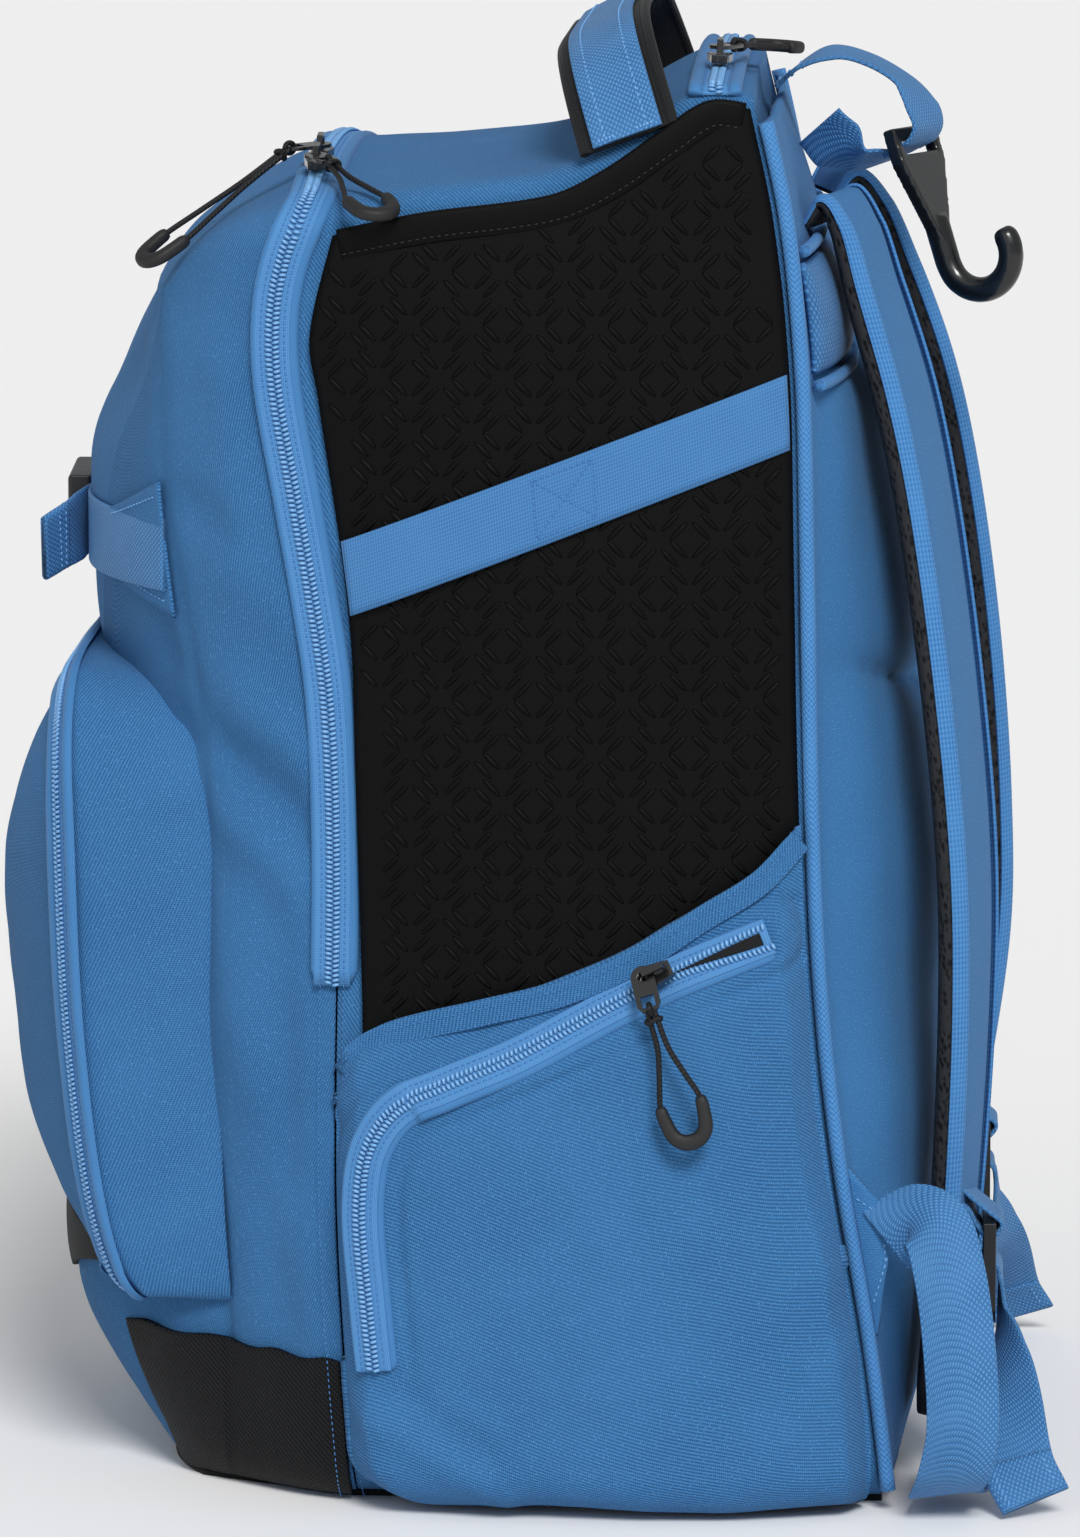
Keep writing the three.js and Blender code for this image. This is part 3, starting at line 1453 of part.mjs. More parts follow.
function buckle() {
  const shape = new THREE.Shape();
  const [l, h] = [buckleLength / 2, buckleHeight / 2];
  shape.moveTo(-l, -h * 0.8);
  shape.lineTo(-l * 0.35, -h);
  shape.lineTo(l * 0.35, -h * 0.9);
  shape.lineTo(l, -h * 0.8);
  shape.lineTo(l, h * 0.8);
  shape.lineTo(l * 0.35, h * 0.9);
  shape.lineTo(-l * 0.35, h);
  shape.lineTo(-l, h * 0.8);
  shape.closePath();
  const body = new THREE.ExtrudeGeometry(shape, {
    depth: buckleThickness - 2,
    bevelEnabled: true,
    bevelThickness: 1,
    bevelSize: 1,
    bevelSegments: 1,
  });
  body.rotateX(Math.PI / 2);
  body.translate(buckleShift, frontStrapFace - 4, frontStrapUp);
  return body;
}
piece("front_buckle", buckle(), blackPlastic);
// Zip pulls: a slider on the teeth, a tab, and a cord knotted to the tab with a grip moulded round its bend
const sliderLength = 12;
const sliderWidth = 9;
const sliderThickness = 3;
const bridgeHeight = 3.8;
const bridgeLeg = 1.5;
const bridgeHalf = 3.4;
function sliderSolid() {
  const plan = new THREE.Shape();
  const [l, w] = [sliderLength / 2, sliderWidth / 2];
  plan.moveTo(-l, -w * 0.62);
  plan.lineTo(l * 0.5, -w);
  plan.lineTo(l, -w * 0.8);
  plan.lineTo(l, w * 0.8);
  plan.lineTo(l * 0.5, w);
  plan.lineTo(-l, w * 0.62);
  plan.closePath();
  const body = new THREE.ExtrudeGeometry(plan, {
    depth: sliderThickness,
    bevelEnabled: false,
  });
  const arch = new THREE.Shape();
  const reach = bridgeHalf + bridgeLeg;
  const top = bridgeHeight + bridgeLeg;
  arch.moveTo(-reach, -0.5);
  arch.lineTo(-bridgeHalf, -0.5);
  arch.lineTo(-bridgeHalf, bridgeHeight);
  arch.lineTo(bridgeHalf, bridgeHeight);
  arch.lineTo(bridgeHalf, -0.5);
  arch.lineTo(reach, -0.5);
  arch.lineTo(reach * 0.8, top);
  arch.lineTo(-reach * 0.8, top);
  arch.closePath();
  const bridge = new THREE.ExtrudeGeometry(arch, {
    depth: 2.2,
    bevelEnabled: false,
  });
  bridge.rotateX(Math.PI / 2);
  bridge.translate(0, 1.1, sliderThickness);
  return fused(body, bridge);
}
const ringHole = 1.95;
const barUp = -tabLength - 1.2; // middle of the tab's end bar
function tabSolid() {
  const w = tabWidth / 2;
  const shape = new THREE.Shape();
  shape.absarc(0, 0, w, 0, Math.PI, false);
  shape.lineTo(-w, barUp + 1.6);
  shape.lineTo(-w + 1.5, barUp - 0.75);
  shape.lineTo(w - 1.5, barUp - 0.75);
  shape.lineTo(w, barUp + 1.6);
  shape.closePath();
  const hole = new THREE.Path();
  hole.absarc(0, 0, ringHole, 0, Math.PI * 2, true);
  shape.holes.push(hole);
  const slot = new THREE.Path();
  const half = w - 1.8;
  slot.moveTo(-half, barUp + 0.75);
  slot.lineTo(-half, barUp + 5);
  slot.lineTo(half, barUp + 5);
  slot.lineTo(half, barUp + 0.75);
  slot.closePath();
  shape.holes.push(slot);
  return new THREE.ExtrudeGeometry(shape, {
    depth: tabThickness,
    bevelEnabled: false,
    curveSegments: 3,
  });
}
// Middle line of the cord, from its knot, through the grip and back, measured from the tab's bar.
const gripHalf = gripLength / 2 - 2.4;
const knotDown = 4;
function cordLine(down) {
  const side = [
    [1.3, -knotDown],
    [1.9, mix(-knotDown, gripHalf - down, 0.35)],
    [4.6, mix(-knotDown, gripHalf - down, 0.7)],
    [7.1, gripHalf - down],
    [6.9, gripHalf * 0.2 - down],
    [5.6, -gripHalf * 0.6 - down],
    [3, -gripHalf * 0.95 - down],
  ];
  const whole = [
    ...side,
    [0, -gripHalf * 1.05 - down],
    ...side.map(([x, y]) => [-x, y]).reverse(),
  ];
  return new THREE.CatmullRomCurve3(
    whole.map(([x, y]) => new THREE.Vector3(x, y, 0)),
    false,
    "centripetal",
  );
}
// A square tube round given places of that line.
function tubeRings(line, places, half) {
  return places.map((t) => {
    const p = line.getPoint(t);
    const forward = line.getTangent(t);
    const size = half(t);
    return [
      [-1, -1],
      [1, -1],
      [1, 1],
      [-1, 1],
    ].map(([a, b]) => [
      p.x + forward.y * a * size,
      p.y - forward.x * a * size,
      b * size,
    ]);
  });
}
const cordPlaces = [0, 0.09, 0.16, 0.214, 0.3, 0.38, 0.44, 0.5]
  .concat([0.56, 0.62, 0.7, 0.786, 0.84, 0.91, 1]);
function cordSolid(down) {
  const line = cordLine(down);
  const strands = loft(tubeRings(line, cordPlaces, () => cordRadius * 0.85));
  const knot = new THREE.SphereGeometry(1, 5, 3);
  knot.scale(2.8, 2.4, 2.4);
  knot.translate(0, -knotDown, 0);
  const turns = spread(0, Math.PI * 2, 7).slice(0, 6);
  const loop = loft(
    turns.map((turn) => {
      const ring = [
        [-0.9, 1.5],
        [0.9, 1.5],
        [0.9, 3],
        [-0.9, 3],
      ];
      return ring.map(([x, r]) => [x, r * Math.cos(turn), r * Math.sin(turn)]);
    }),
    true,
  );
  return fused(strands, knot, loop);
}
function gripSolid(down) {
  const line = cordLine(down);
  const [from, to] = [0.214, 0.786];
  const thick = (t) => {
    const share = Math.abs((t - from) / (to - from) - 0.5) * 2;
    return (gripThickness / 2) * mix(1.15, 0.9, share ** 2);
  };
  const places = cordPlaces.filter((t) => t >= from && t <= to);
  const inner = tubeRings(line, places, () => cordRadius + 0.3);
  const outer = tubeRings(line, places, thick);
  return loft([...inner, ...outer.reverse()], true);
}
// Where each pull sits: its slider's place and the directions along the zip and out of the cloth,
// and the place its grip hangs to.
function basis(group, across, up, place) {
  const y = vector(up).normalize();
  const x = vector(across);
  x.addScaledVector(y, -x.dot(y)).normalize();
  const z = new THREE.Vector3().crossVectors(x, y);
  group.matrix.makeBasis(x, y, z).setPosition(...place);
  group.matrix.decompose(group.position, group.quaternion, group.scale);
}
const zipTop = tapeThickness + teethHeight;
function pull(name, frame, target, lift) {
  const { place, out } = frame;
  const along = new THREE.Vector3()
    .crossVectors(vector(frame.across), vector(out))
    .normalize();
  const sliderGroup = new THREE.Group();
  const up = new THREE.Vector3().crossVectors(vector(out), along);
  const seat = place.map((value, k) => value + out[k] * (lift + zipTop + 0.5));
  basis(sliderGroup, along.toArray(), up.toArray(), seat);
  backpack.add(sliderGroup);
  piece(`${name}_slider`, sliderSolid(), blackMetal, sliderGroup);
  const hangGroup = new THREE.Group();
  const leg = vector(target).sub(vector(seat)).dot(along) < 0 ? -1 : 1;
  const legPlace = vector(seat)
    .addScaledVector(along, (bridgeHalf + bridgeLeg / 2) * leg)
    .addScaledVector(vector(out), sliderThickness + 1.3);
  const flat = vector(target).sub(legPlace);
  flat.addScaledVector(vector(out), -flat.dot(vector(out))).normalize();
  const across = new THREE.Vector3().crossVectors(vector(out), flat);
  basis(
    hangGroup,
    across.toArray(),
    flat.clone().negate().toArray(),
    legPlace.toArray(),
  );
  backpack.add(hangGroup);
  piece(`${name}_tab`, tabSolid(), blackMetal, hangGroup);
  const bar = legPlace
    .clone()
    .addScaledVector(flat, -barUp)
    .addScaledVector(vector(out), tabThickness / 2);
  const down = vector(target).sub(bar);
  const cordGroup = new THREE.Group();
  basis(cordGroup, across.toArray(), down.clone().negate().toArray(), bar.toArray());
  backpack.add(cordGroup);
  piece(`${name}_cord`, cordSolid(down.length()), blackCloth, cordGroup);
  piece(`${name}_grip`, gripSolid(down.length()), blackPlastic, cordGroup);
}
const sidePullPlace = 0.86; // share of the side zip's length, from its lower end
for (const { side, word } of sides) {
  const frame = sideZipFrame(side)(sidePullPlace);
  const target = [181 * side, 43, 146];
  pull(`side_pull_${word}`, frame, target, sideZipLift);
}
pull("rear_pull", rearZipFrame(0.875), [32, 71, 507], rearZipLift);
pull("pocket_pull", pocketZipFrame(0.8), [-108, -209, 205], pocketZipLift);
pull("main_pull_front", mainZipFrame(0.868), [117, -142, 441.5], mainZipLift);
pull("main_pull_back", mainZipFrame(0.835), [152, -66, 459], mainZipLift);

export default backpack;
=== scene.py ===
# %% [markdown]
# # A baseball bat backpack
# The real bag stands about half a metre tall. It is sewn from dense blue canvas, with black stretch
# sleeves for two bats on its sides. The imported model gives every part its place, so this lesson
# starts by loading it as a fixed frame, in metres. Each cell then adds one piece or one finish.

# %% Load the frame
import math

import bmesh
import bpy
from mathutils import Matrix, Vector, noise


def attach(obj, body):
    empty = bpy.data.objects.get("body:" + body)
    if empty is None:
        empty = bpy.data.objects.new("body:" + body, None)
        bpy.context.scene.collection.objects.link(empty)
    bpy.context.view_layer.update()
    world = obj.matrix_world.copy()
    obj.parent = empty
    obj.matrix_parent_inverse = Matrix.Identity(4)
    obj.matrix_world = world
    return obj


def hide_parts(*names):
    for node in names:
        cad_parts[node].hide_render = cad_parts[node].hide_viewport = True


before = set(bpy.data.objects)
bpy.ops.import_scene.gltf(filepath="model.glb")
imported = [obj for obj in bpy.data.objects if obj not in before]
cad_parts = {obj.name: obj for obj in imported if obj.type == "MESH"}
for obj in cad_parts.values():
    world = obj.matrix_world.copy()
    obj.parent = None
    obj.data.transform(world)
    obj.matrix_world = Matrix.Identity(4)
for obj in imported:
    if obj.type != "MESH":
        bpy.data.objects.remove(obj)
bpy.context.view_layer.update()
MM = 0.001

# %% [markdown]
# The photograph looks at the wearer's right side of the bag, a little from behind and a little from
# above. A long lens three metres away keeps the sides nearly parallel, as in a catalogue picture.

# %% Camera
CAMERA_AZIMUTH = math.radians(92.5)
CAMERA_HEIGHT = math.radians(8.5)
CAMERA_AWAY = 3.0
LOOK_AT = Vector((0.0, -0.01534, 0.24158))
toward_camera = Vector(
    (
        math.sin(CAMERA_AZIMUTH) * math.cos(CAMERA_HEIGHT),
        -math.cos(CAMERA_AZIMUTH) * math.cos(CAMERA_HEIGHT),
        math.sin(CAMERA_HEIGHT),
    )
)
camera_data = bpy.data.cameras.new("camera")
camera_data.lens = 192.5
camera_data.sensor_width = 36
camera = bpy.data.objects.new("camera", camera_data)
camera.location = LOOK_AT + toward_camera * CAMERA_AWAY
camera.rotation_euler = (-toward_camera).to_track_quat("-Z", "Y").to_euler()
bpy.context.collection.objects.link(camera)
bpy.context.scene.camera = camera
print("camera at", tuple(round(v, 3) for v in camera.location))

# %% [markdown]
# A sewn bag has no simple shape, so its outline is kept as short tables, like a pattern maker's
# measurements. Heights are shares of the bag's height and depths are shares of half its depth. A
# smooth curve runs through each table. All lengths here are in millimetres.

# %% The bag's measurements
HEIGHT = 495
HALF_WIDTH = 144
HALF_DEPTH = 82
GUSSET = 47
FACE_BULGE = 43
BACK_BULGE = 51
BOTTOM = 2.6
BOTTOM_RADIUS = 16
SLEEVE_WALL = 3
SLEEVE_ROOM = 9
SLEEVE_HEM = 20
POCKET_BULGE = 25
WEB_WIDTH = 25.4
WEB_THICKNESS = 1.6
GAP = 0.4


def through(rows, x_scale=1.0, y_scale=1.0):
    """A smooth curve through a table of (place, value) rows."""
    xs = [row[0] * x_scale for row in rows]
    ys = [row[1] * y_scale for row in rows]
    last = len(xs) - 1
    slopes = []
    for i in range(len(xs)):
        a = max(i - 1, 0)
        b = min(i + 1, last)
        slopes.append((ys[b] - ys[a]) / (xs[b] - xs[a]))

    def value(place):
        p = min(max(place, xs[0]), xs[-1])
        i = 0
        while i < last - 1 and p > xs[i + 1]:
            i += 1
        span = xs[i + 1] - xs[i]
        t = (p - xs[i]) / span
        b = slopes[i] * span
        end = slopes[i + 1] * span
        c = 3 * (ys[i + 1] - ys[i]) - 2 * b - end
        d = 2 * (ys[i] - ys[i + 1]) + b + end
        return ys[i] + b * t + c * t * t + d * t * t * t

    return value


def mix(a, b, t):
    return a + (b - a) * t


def even_marks(count, start=0.0, end=1.0):
    """Marks at even shares from start to end, both ends included."""
    return [mix(start, end, i / count) for i in range(count + 1)]


def clamp(value, low=0.0, high=1.0):
    return min(max(value, low), high)


def ease(value, low=0.0, high=1.0):
    t = clamp((value - low) / (high - low))
    return t * t * (3 - 2 * t)


rear_at = through(
    [(0, 1.36), (0.13, 1.254), (0.25, 1.13), (0.37, 1.046), (0.5, 1.005), (0.69, 0.978),
     (0.81, 0.954), (0.915, 0.889), (1, 0.78)],
    HEIGHT, HALF_DEPTH,
)
zip_at = through(
    [(0, -0.902), (0.1, -0.951), (0.21, -0.985), (0.31, -0.985), (0.47, -0.97), (0.58, -0.995),
     (0.65, -1.054), (0.72, -1.127), (0.8, -1.21), (0.85, -1.217), (0.89, -1.171), (0.93, -1.067)],
    HEIGHT, HALF_DEPTH,
)
# Front compartment: height, depth, width, fullness and squareness of its face
FRONT = [
    (0, 0.96, 0.8, 0.6, 4), (0.065, 0.93, 0.81, 1.12, 4), (0.12, 0.92, 0.82, 1.4, 3.8),
    (0.16, 0.92, 0.83, 1.4, 3.4), (0.25, 0.94, 0.85, 1.15, 2.8), (0.36, 1.0, 0.868, 1.0, 2.4),
    (0.51, 1.02, 0.865, 0.95, 2.4), (0.61, 1.05, 0.86, 0.96, 2.4), (0.67, 1.06, 0.85, 0.87, 2.4),
    (0.74, 1.03, 0.833, 0.76, 2.4), (0.8, 0.94, 0.81, 0.44, 2.4), (0.85, 0.95, 0.778, 0.14, 2.4),
]
gusset_at = through([(row[0], row[1]) for row in FRONT], HEIGHT, GUSSET)
front_half_width = through([(row[0], row[2]) for row in FRONT], HEIGHT, HALF_WIDTH)
bulge_at = through([(row[0], row[3]) for row in FRONT], HEIGHT, FACE_BULGE)
square_at = through([(row[0], row[4]) for row in FRONT], HEIGHT, 1)
# Top line: station, side seam and crown
TOP = [
    (0, 0.996, 1.008), (0.1, 0.999, 1.014), (0.22, 0.978, 1.0), (0.36, 0.951, 0.978),
    (0.48, 0.934, 0.961), (0.75, 0.921, 0.951), (1, 0.903, 0.949), (1.3, 0.894, 0.94),
    (1.6, 0.889, 0.922), (1.85, 0.874, 0.895), (2, 0.851, 0.859),
]
side_seam_at = through([(row[0], row[1]) for row in TOP], 1, HEIGHT)
crown_at = through([(row[0], row[2]) for row in TOP], 1, HEIGHT)
back_crown_at = through(
    [(0, 0.1), (0.065, 0.36), (0.13, 0.55), (0.25, 0.79), (0.34, 0.9), (0.44, 1.0), (0.49, 0.97),
     (0.58, 0.88), (0.67, 0.76), (0.78, 0.58), (0.85, 0.38), (0.9, 0.22), (1, 0.1)],
    HEIGHT, BACK_BULGE,
)
sleeve_front_at = through(
    [(0, -0.83), (0.34, -0.863), (0.52, -0.885), (0.63, -0.917), (0.79, -1.044), (0.835, -1.08),
     (0.91, -0.975)],
    HEIGHT, HALF_DEPTH,
)
pocket_edge_at = through(
    [(-1.02, 0.291), (-0.93, 0.33), (-0.85, 0.345), (-0.7, 0.357), (-0.36, 0.372), (0, 0.388),
     (0.32, 0.412), (0.57, 0.439), (0.83, 0.466), (1.01, 0.498)],
    HALF_DEPTH, HEIGHT,
)


print("main zip stands", round(zip_at(250)), "mm before the middle at half height")

# %% [markdown]
# From these tables a handful of functions work out any point of the bag's outside. A station says
# how far forward the point lies, and a turn how far round the bag. A mesh sculpted by hand could
# not be measured like this, and every later piece has to know where the cloth behind it is.

# %% The shell's surface

def front_seam_at(z):
    return zip_at(z) - gusset_at(z)


def width_at(station, z):
    """Half width of the shell. Station 0 is its rear seam, 1 its main zip, 2 its front seam."""
    taper = 1 - 0.025 * (z / HEIGHT) ** 2
    plump = 1 + 0.014 * math.sin(math.pi * clamp(station))
    side = HALF_WIDTH * taper * plump
    return mix(side, front_half_width(z), clamp(station - 1) ** 1.5)


def face_at(x, z):
    share = clamp(abs(x) / front_half_width(z))
    return front_seam_at(z) - bulge_at(z) * (1 - share ** square_at(z))


def back_at(x, z, part):
    """Part 0 is the wall behind the pads, and part 1 their outside."""
    share = clamp(abs(x) / width_at(0, z))
    return rear_at(z) + back_crown_at(z) * mix(0.5, 1, part) * (1 - share**3)


def shell_point(station, turn):
    """A point of the shell. Turn runs from 0 under the base, up the side, to 1 on the crown."""
    seam = side_seam_at(station)
    rise = crown_at(station) - seam
    corner_rise = rise * 0.62
    corner = rise * 0.8 + 2
    if turn < 0.2:
        z = BOTTOM
        x = (width_at(station, z) - BOTTOM_RADIUS) * turn / 0.2
    elif turn < 0.27:
        angle = (turn - 0.2) / 0.07 * math.pi / 2
        z = BOTTOM + BOTTOM_RADIUS * (1 - math.cos(angle))
        x = width_at(station, z) - BOTTOM_RADIUS * (1 - math.sin(angle))
    elif turn < 0.73:
        z = mix(BOTTOM + BOTTOM_RADIUS, seam, (turn - 0.27) / 0.46)
        x = width_at(station, z)
    elif turn < 0.8:
        angle = (turn - 0.73) / 0.07 * math.pi / 2
        x = width_at(station, seam) - corner * (1 - math.cos(angle))
        z = seam + corner_rise * math.sin(angle)
    else:
        across = (1 - turn) / 0.2
        x = (width_at(station, seam) - corner) * across
        z = seam + corner_rise + (rise - corner_rise) * (1 - across**2)
    if station <= 1:
        y = mix(rear_at(z), zip_at(z), station)
    else:
        y = mix(zip_at(z), face_at(x, z), clamp(station - 1))
    return Vector((x, y, z))


def ring_point(station, around):
    """The same, right round the bag: around 0 and 1 lie under the base and 0.5 on the crown."""
    if around <= 0.5:
        return shell_point(station, around * 2)
    p = shell_point(station, 2 - around * 2)
    return Vector((-p.x, p.y, p.z))


def side_point(y, z):
    """A point on the wearer's right side of the shell."""
    at = clamp((y - rear_at(z)) / (zip_at(z) - rear_at(z)))
    lift = clamp(z - BOTTOM, 0, BOTTOM_RADIUS)
    inset = BOTTOM_RADIUS - math.sqrt(BOTTOM_RADIUS**2 - (BOTTOM_RADIUS - lift) ** 2)
    return Vector((width_at(at, z) - inset, y, z))


print("half width at the rear seam:", round(width_at(0, 250), 1), "mm")

# %% [markdown]
# Webbing and cords run along free paths. A Bezier curve would need handles at each point, while a
# centripetal Catmull-Rom spline passes through every point of a route without overshooting. A
# frame on it says which way a ribbon lies, and small helpers follow a line beside it or across it.

# %% Routes and frames


class Route:
    """A smooth line through points, in millimetres."""

    def __init__(self, points):
        self.points = [Vector(p) for p in points]

    def at(self, t):
        last = len(self.points) - 1
        place = clamp(t) * last
        i = min(int(place), last - 1)
        w = place - i
        p1 = self.points[i]
        p2 = self.points[i + 1]
        p0 = self.points[i - 1] if i > 0 else p1 * 2 - p2
        p3 = self.points[i + 2] if i + 2 <= last else p2 * 2 - p1
        d0, d1, d2 = ((b - a).length ** 0.5 for a, b in ((p0, p1), (p1, p2), (p2, p3)))
        d1 = d1 if d1 > 1e-4 else 1.0
        d0 = d0 if d0 > 1e-4 else d1
        d2 = d2 if d2 > 1e-4 else d1
        start = ((p1 - p0) / d0 - (p2 - p0) / (d0 + d1) + (p2 - p1) / d1) * d1
        end = ((p2 - p1) / d1 - (p3 - p1) / (d1 + d2) + (p3 - p2) / d2) * d1
        c = (p2 - p1) * 3 - start * 2 - end
        d = (p1 - p2) * 2 + start + end
        return p1 + start * w + c * w**2 + d * w**3

    def forward(self, t):
        return (self.at(min(t + 1e-4, 1)) - self.at(max(t - 1e-4, 0))).normalized()


def square_to(way, along):
    """The part of a direction that is square to another, with length 1."""
    return (way - along * way.dot(along)).normalized()


def route_frame(rows):
    """Rows are x, y, z and the direction across the ribbon. Gives place, across and out."""
    line = Route([row[:3] for row in rows])
    wide = Route([row[3:6] for row in rows])

    def at(t):
        forward = line.forward(t)
        across = square_to(wide.at(t), forward)
        return line.at(t), across, across.cross(forward)

    return at


def surface_frame(surface, flip=1):
    """A frame that runs along a surface(t, beside), with out as the surface's normal."""
    step = 0.004

    def at(t):
        place = surface(t, 0)
        forward = (surface(t + step, 0) - surface(t - step, 0)).normalized()
        beside = (surface(t, 0.4) - place).normalized()
        out = forward.cross(beside).normalized() * flip
        return place, out.cross(forward).normalized(), out

    return at


def frame_line(frame_at, across, out):
    """A line beside a path, as far across and out as asked, with its outward direction."""

    def at(t):
        place, a, o = frame_at(t)
        return place + a * across + o * out, o

    return at


def stretch(frame_at, start, end):
    """A part of a path, as a path of its own."""
    return lambda t: frame_at(mix(start, end, t))


def across_line(frame_at, mark, half, out):
    """A line straight across a path at one mark."""
    return lambda t: frame_line(frame_at, mix(-half, half, t), out)(mark)


def seam(place, start, end, out, lift):
    """A straight line between two shares (u, v) of a surface, lifted off it a little."""

    def at(t):
        return place(mix(start[0], end[0], t), mix(start[1], end[1], t)) + out * lift, out

    return at


# Surfaces curl at the very ends of a path, so a frame stops this share short of them
END_SHARE = 0.006


def held(frame_at):
    return lambda t: frame_at(clamp(t, END_SHARE, 1 - END_SHARE))


def on_side(frame_at, side):
    """A path on the wearer's right side, turned outwards and mirrored where side is -1."""
    mirror = Matrix.Diagonal((side, 1, 1))

    def at(t):
        place, across, out = held(frame_at)(t)
        if out.x < 0:
            across, out = -across, -out
        return mirror @ place, mirror @ across, mirror @ out

    return at


def evenly(frame_at, pitch, start=0.0, end=1.0, steps=400):
    """Shares of a path that lie a pitch apart, measured along it."""
    shares = even_marks(steps, start, end)
    places = [frame_at(t)[0] for t in shares]
    marks = []
    travelled = 0.0
    due = pitch / 2
    for i in range(steps):
        length = (places[i + 1] - places[i]).length
        while travelled + length >= due and length > 0:
            marks.append(mix(shares[i], shares[i + 1], (due - travelled) / length))
            due += pitch
        travelled += length
    return marks


# %% [markdown]
# Every cloth piece starts as a flat grid, as real cloth does, and is bent to its place. It could be
# draped by a cloth simulation, but the photograph already shows where a packed bag's cloth lies.
# The grid keeps its measured length both ways as a UV map in metres, so a weave has the same size
# everywhere. Ribbons start as a grid too, rolled into a tube round their section.

# %% Helpers that make pieces


def finished(name, bm, finish, replaces=(), wall=0.0, offset=-1.0, levels=0, bevel=0.0):
    """Turns a bmesh into a piece that rides on the bag, with its place in its mesh."""
    mesh = bpy.data.meshes.new(name)
    bm.to_mesh(mesh)
    bm.free()
    mesh.shade_smooth()
    piece = bpy.data.objects.new(name, mesh)
    bpy.context.collection.objects.link(piece)
    finishes = finish if isinstance(finish, (list, tuple)) else [finish]
    for one in finishes:
        mesh.materials.append(one.material)
    if bevel:
        edge = piece.modifiers.new("edges", "BEVEL")
        edge.width = bevel * MM
        edge.segments = 2
        edge.limit_method = "ANGLE"
        edge.harden_normals = True
    if wall:
        solid = piece.modifiers.new("wall", "SOLIDIFY")
        solid.thickness = wall * MM
        solid.offset = offset
        solid.use_even_offset = False
    if levels:
        soft = piece.modifiers.new("soft", "SUBSURF")
        soft.levels = levels
        soft.render_levels = levels
    print(name, "made with", len(mesh.polygons), "faces")
    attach(piece, "root")
    if replaces:
        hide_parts(*replaces)
    return piece


def bent_grid(place, columns, rows, closed=False, inside=None, pick=None, relief=None):
    """A grid bent by place(u, v), with its measured lengths as UVs and its faces turned outwards."""
    bm = bmesh.new()
    bmesh.ops.create_grid(bm, x_segments=columns, y_segments=rows, size=0.5)
    layer = bm.loops.layers.uv.new("cloth")
    points = [
        [Vector(place(i / columns, j / rows)) for i in range(columns + 1)] for j in range(rows + 1)
    ]
    across = []
    for line in points:
        run = [0.0]
        for a, b in zip(line, line[1:]):
            run.append(run[-1] + (b - a).length)
        middle = run[columns // 2]
        across.append([value - middle for value in run])
    upward = []
    for i in range(columns + 1):
        run = [0.0]
        for j in range(rows):
            run.append(run[-1] + (points[j + 1][i] - points[j][i]).length)
        middle = run[rows // 2]
        upward.append([value - middle for value in run])
    index = {}
    for vert in bm.verts:
        i = round((vert.co.x + 0.5) * columns)
        j = round((vert.co.y + 0.5) * rows)
        index[vert] = (i, j)
    for face in bm.faces:
        for loop in face.loops:
            i, j = index[loop.vert]
            loop[layer].uv = (across[j][i] * MM, upward[i][j] * MM)
        if pick:
            i = sum(index[v][0] for v in face.verts) / 4 / columns
            j = sum(index[v][1] for v in face.verts) / 4 / rows
            face.material_index = pick(i, j)
    for vert, (i, j) in index.items():
        vert.co = points[j][i] * MM
    if closed:
        bmesh.ops.remove_doubles(bm, verts=bm.verts, dist=1e-6)
    bm.normal_update()
    middle = Vector(inside if inside is not None else (0, 0, 240)) * MM
    facing = sum(
        face.normal.dot(face.calc_center_median() - middle) * face.calc_area() for face in bm.faces
    )
    if facing < 0:
        bmesh.ops.reverse_faces(bm, faces=bm.faces)
    if relief:
        bm.normal_update()
        moves = [(v, v.normal * relief(v.co / MM) * MM) for v in bm.verts]
        for vert, move in moves:
            vert.co += move
    return bm


def cloth(name, place, columns, rows, finish, replaces=(), wall=0.0, inside=None, **more):
    closed = more.pop("closed", False)
    pick = more.pop("pick", None)
    relief = more.pop("relief", None)
    bm = bent_grid(place, columns, rows, closed, inside, pick, relief)
    return finished(name, bm, finish, replaces, wall, **more)


def swept(frame_at, marks, section, capped=True, pick=None):
    """A closed section of (across, out) points carried along a path. It may change on its way."""
    outline = section if callable(section) else lambda mark: section
    count = len(outline(marks[0]))

    def place(u, v):
        mark = marks[round(v * (len(marks) - 1))]
        a, o = outline(mark)[round(u * count) % count]
        centre, across, out = frame_at(mark)
        return centre + across * a + out * o

    bm = bent_grid(place, count, len(marks) - 1, pick=pick)
    bmesh.ops.remove_doubles(bm, verts=bm.verts, dist=1e-6)
    if capped:
        edges = [edge for edge in bm.edges if edge.is_boundary]
        bmesh.ops.holes_fill(bm, edges=edges, sides=0)
    bmesh.ops.recalc_face_normals(bm, faces=bm.faces)
    return bm


def ribbon(name, frame_at, steps, section, finish, replaces=(), **more):
    marks = steps if isinstance(steps, list) else even_marks(steps)
    bm = swept(frame_at, marks, section, pick=more.pop("pick", None))
    return finished(name, bm, finish, replaces, **more)


def band(width, thickness, low=None, parts=8):
    """The section of a flat band with rounded edges. Low is its underside."""
    bottom = -thickness / 2 if low is None else low
    middle = bottom + thickness / 2
    r = thickness / 2
    half = width / 2 - r
    section = []
    for i in range(parts + 1):
        section.append((mix(-half, half, i / parts), bottom))
    for angle in (-45, 0, 45):
        a = math.radians(angle)
        section.append((half + r * math.cos(a), middle + r * math.sin(a)))
    for i in range(parts + 1):
        section.append((mix(half, -half, i / parts), bottom + thickness))
    for angle in (135, 180, 225):
        a = math.radians(angle)
        section.append((-half + r * math.cos(a), middle + r * math.sin(a)))
    return section


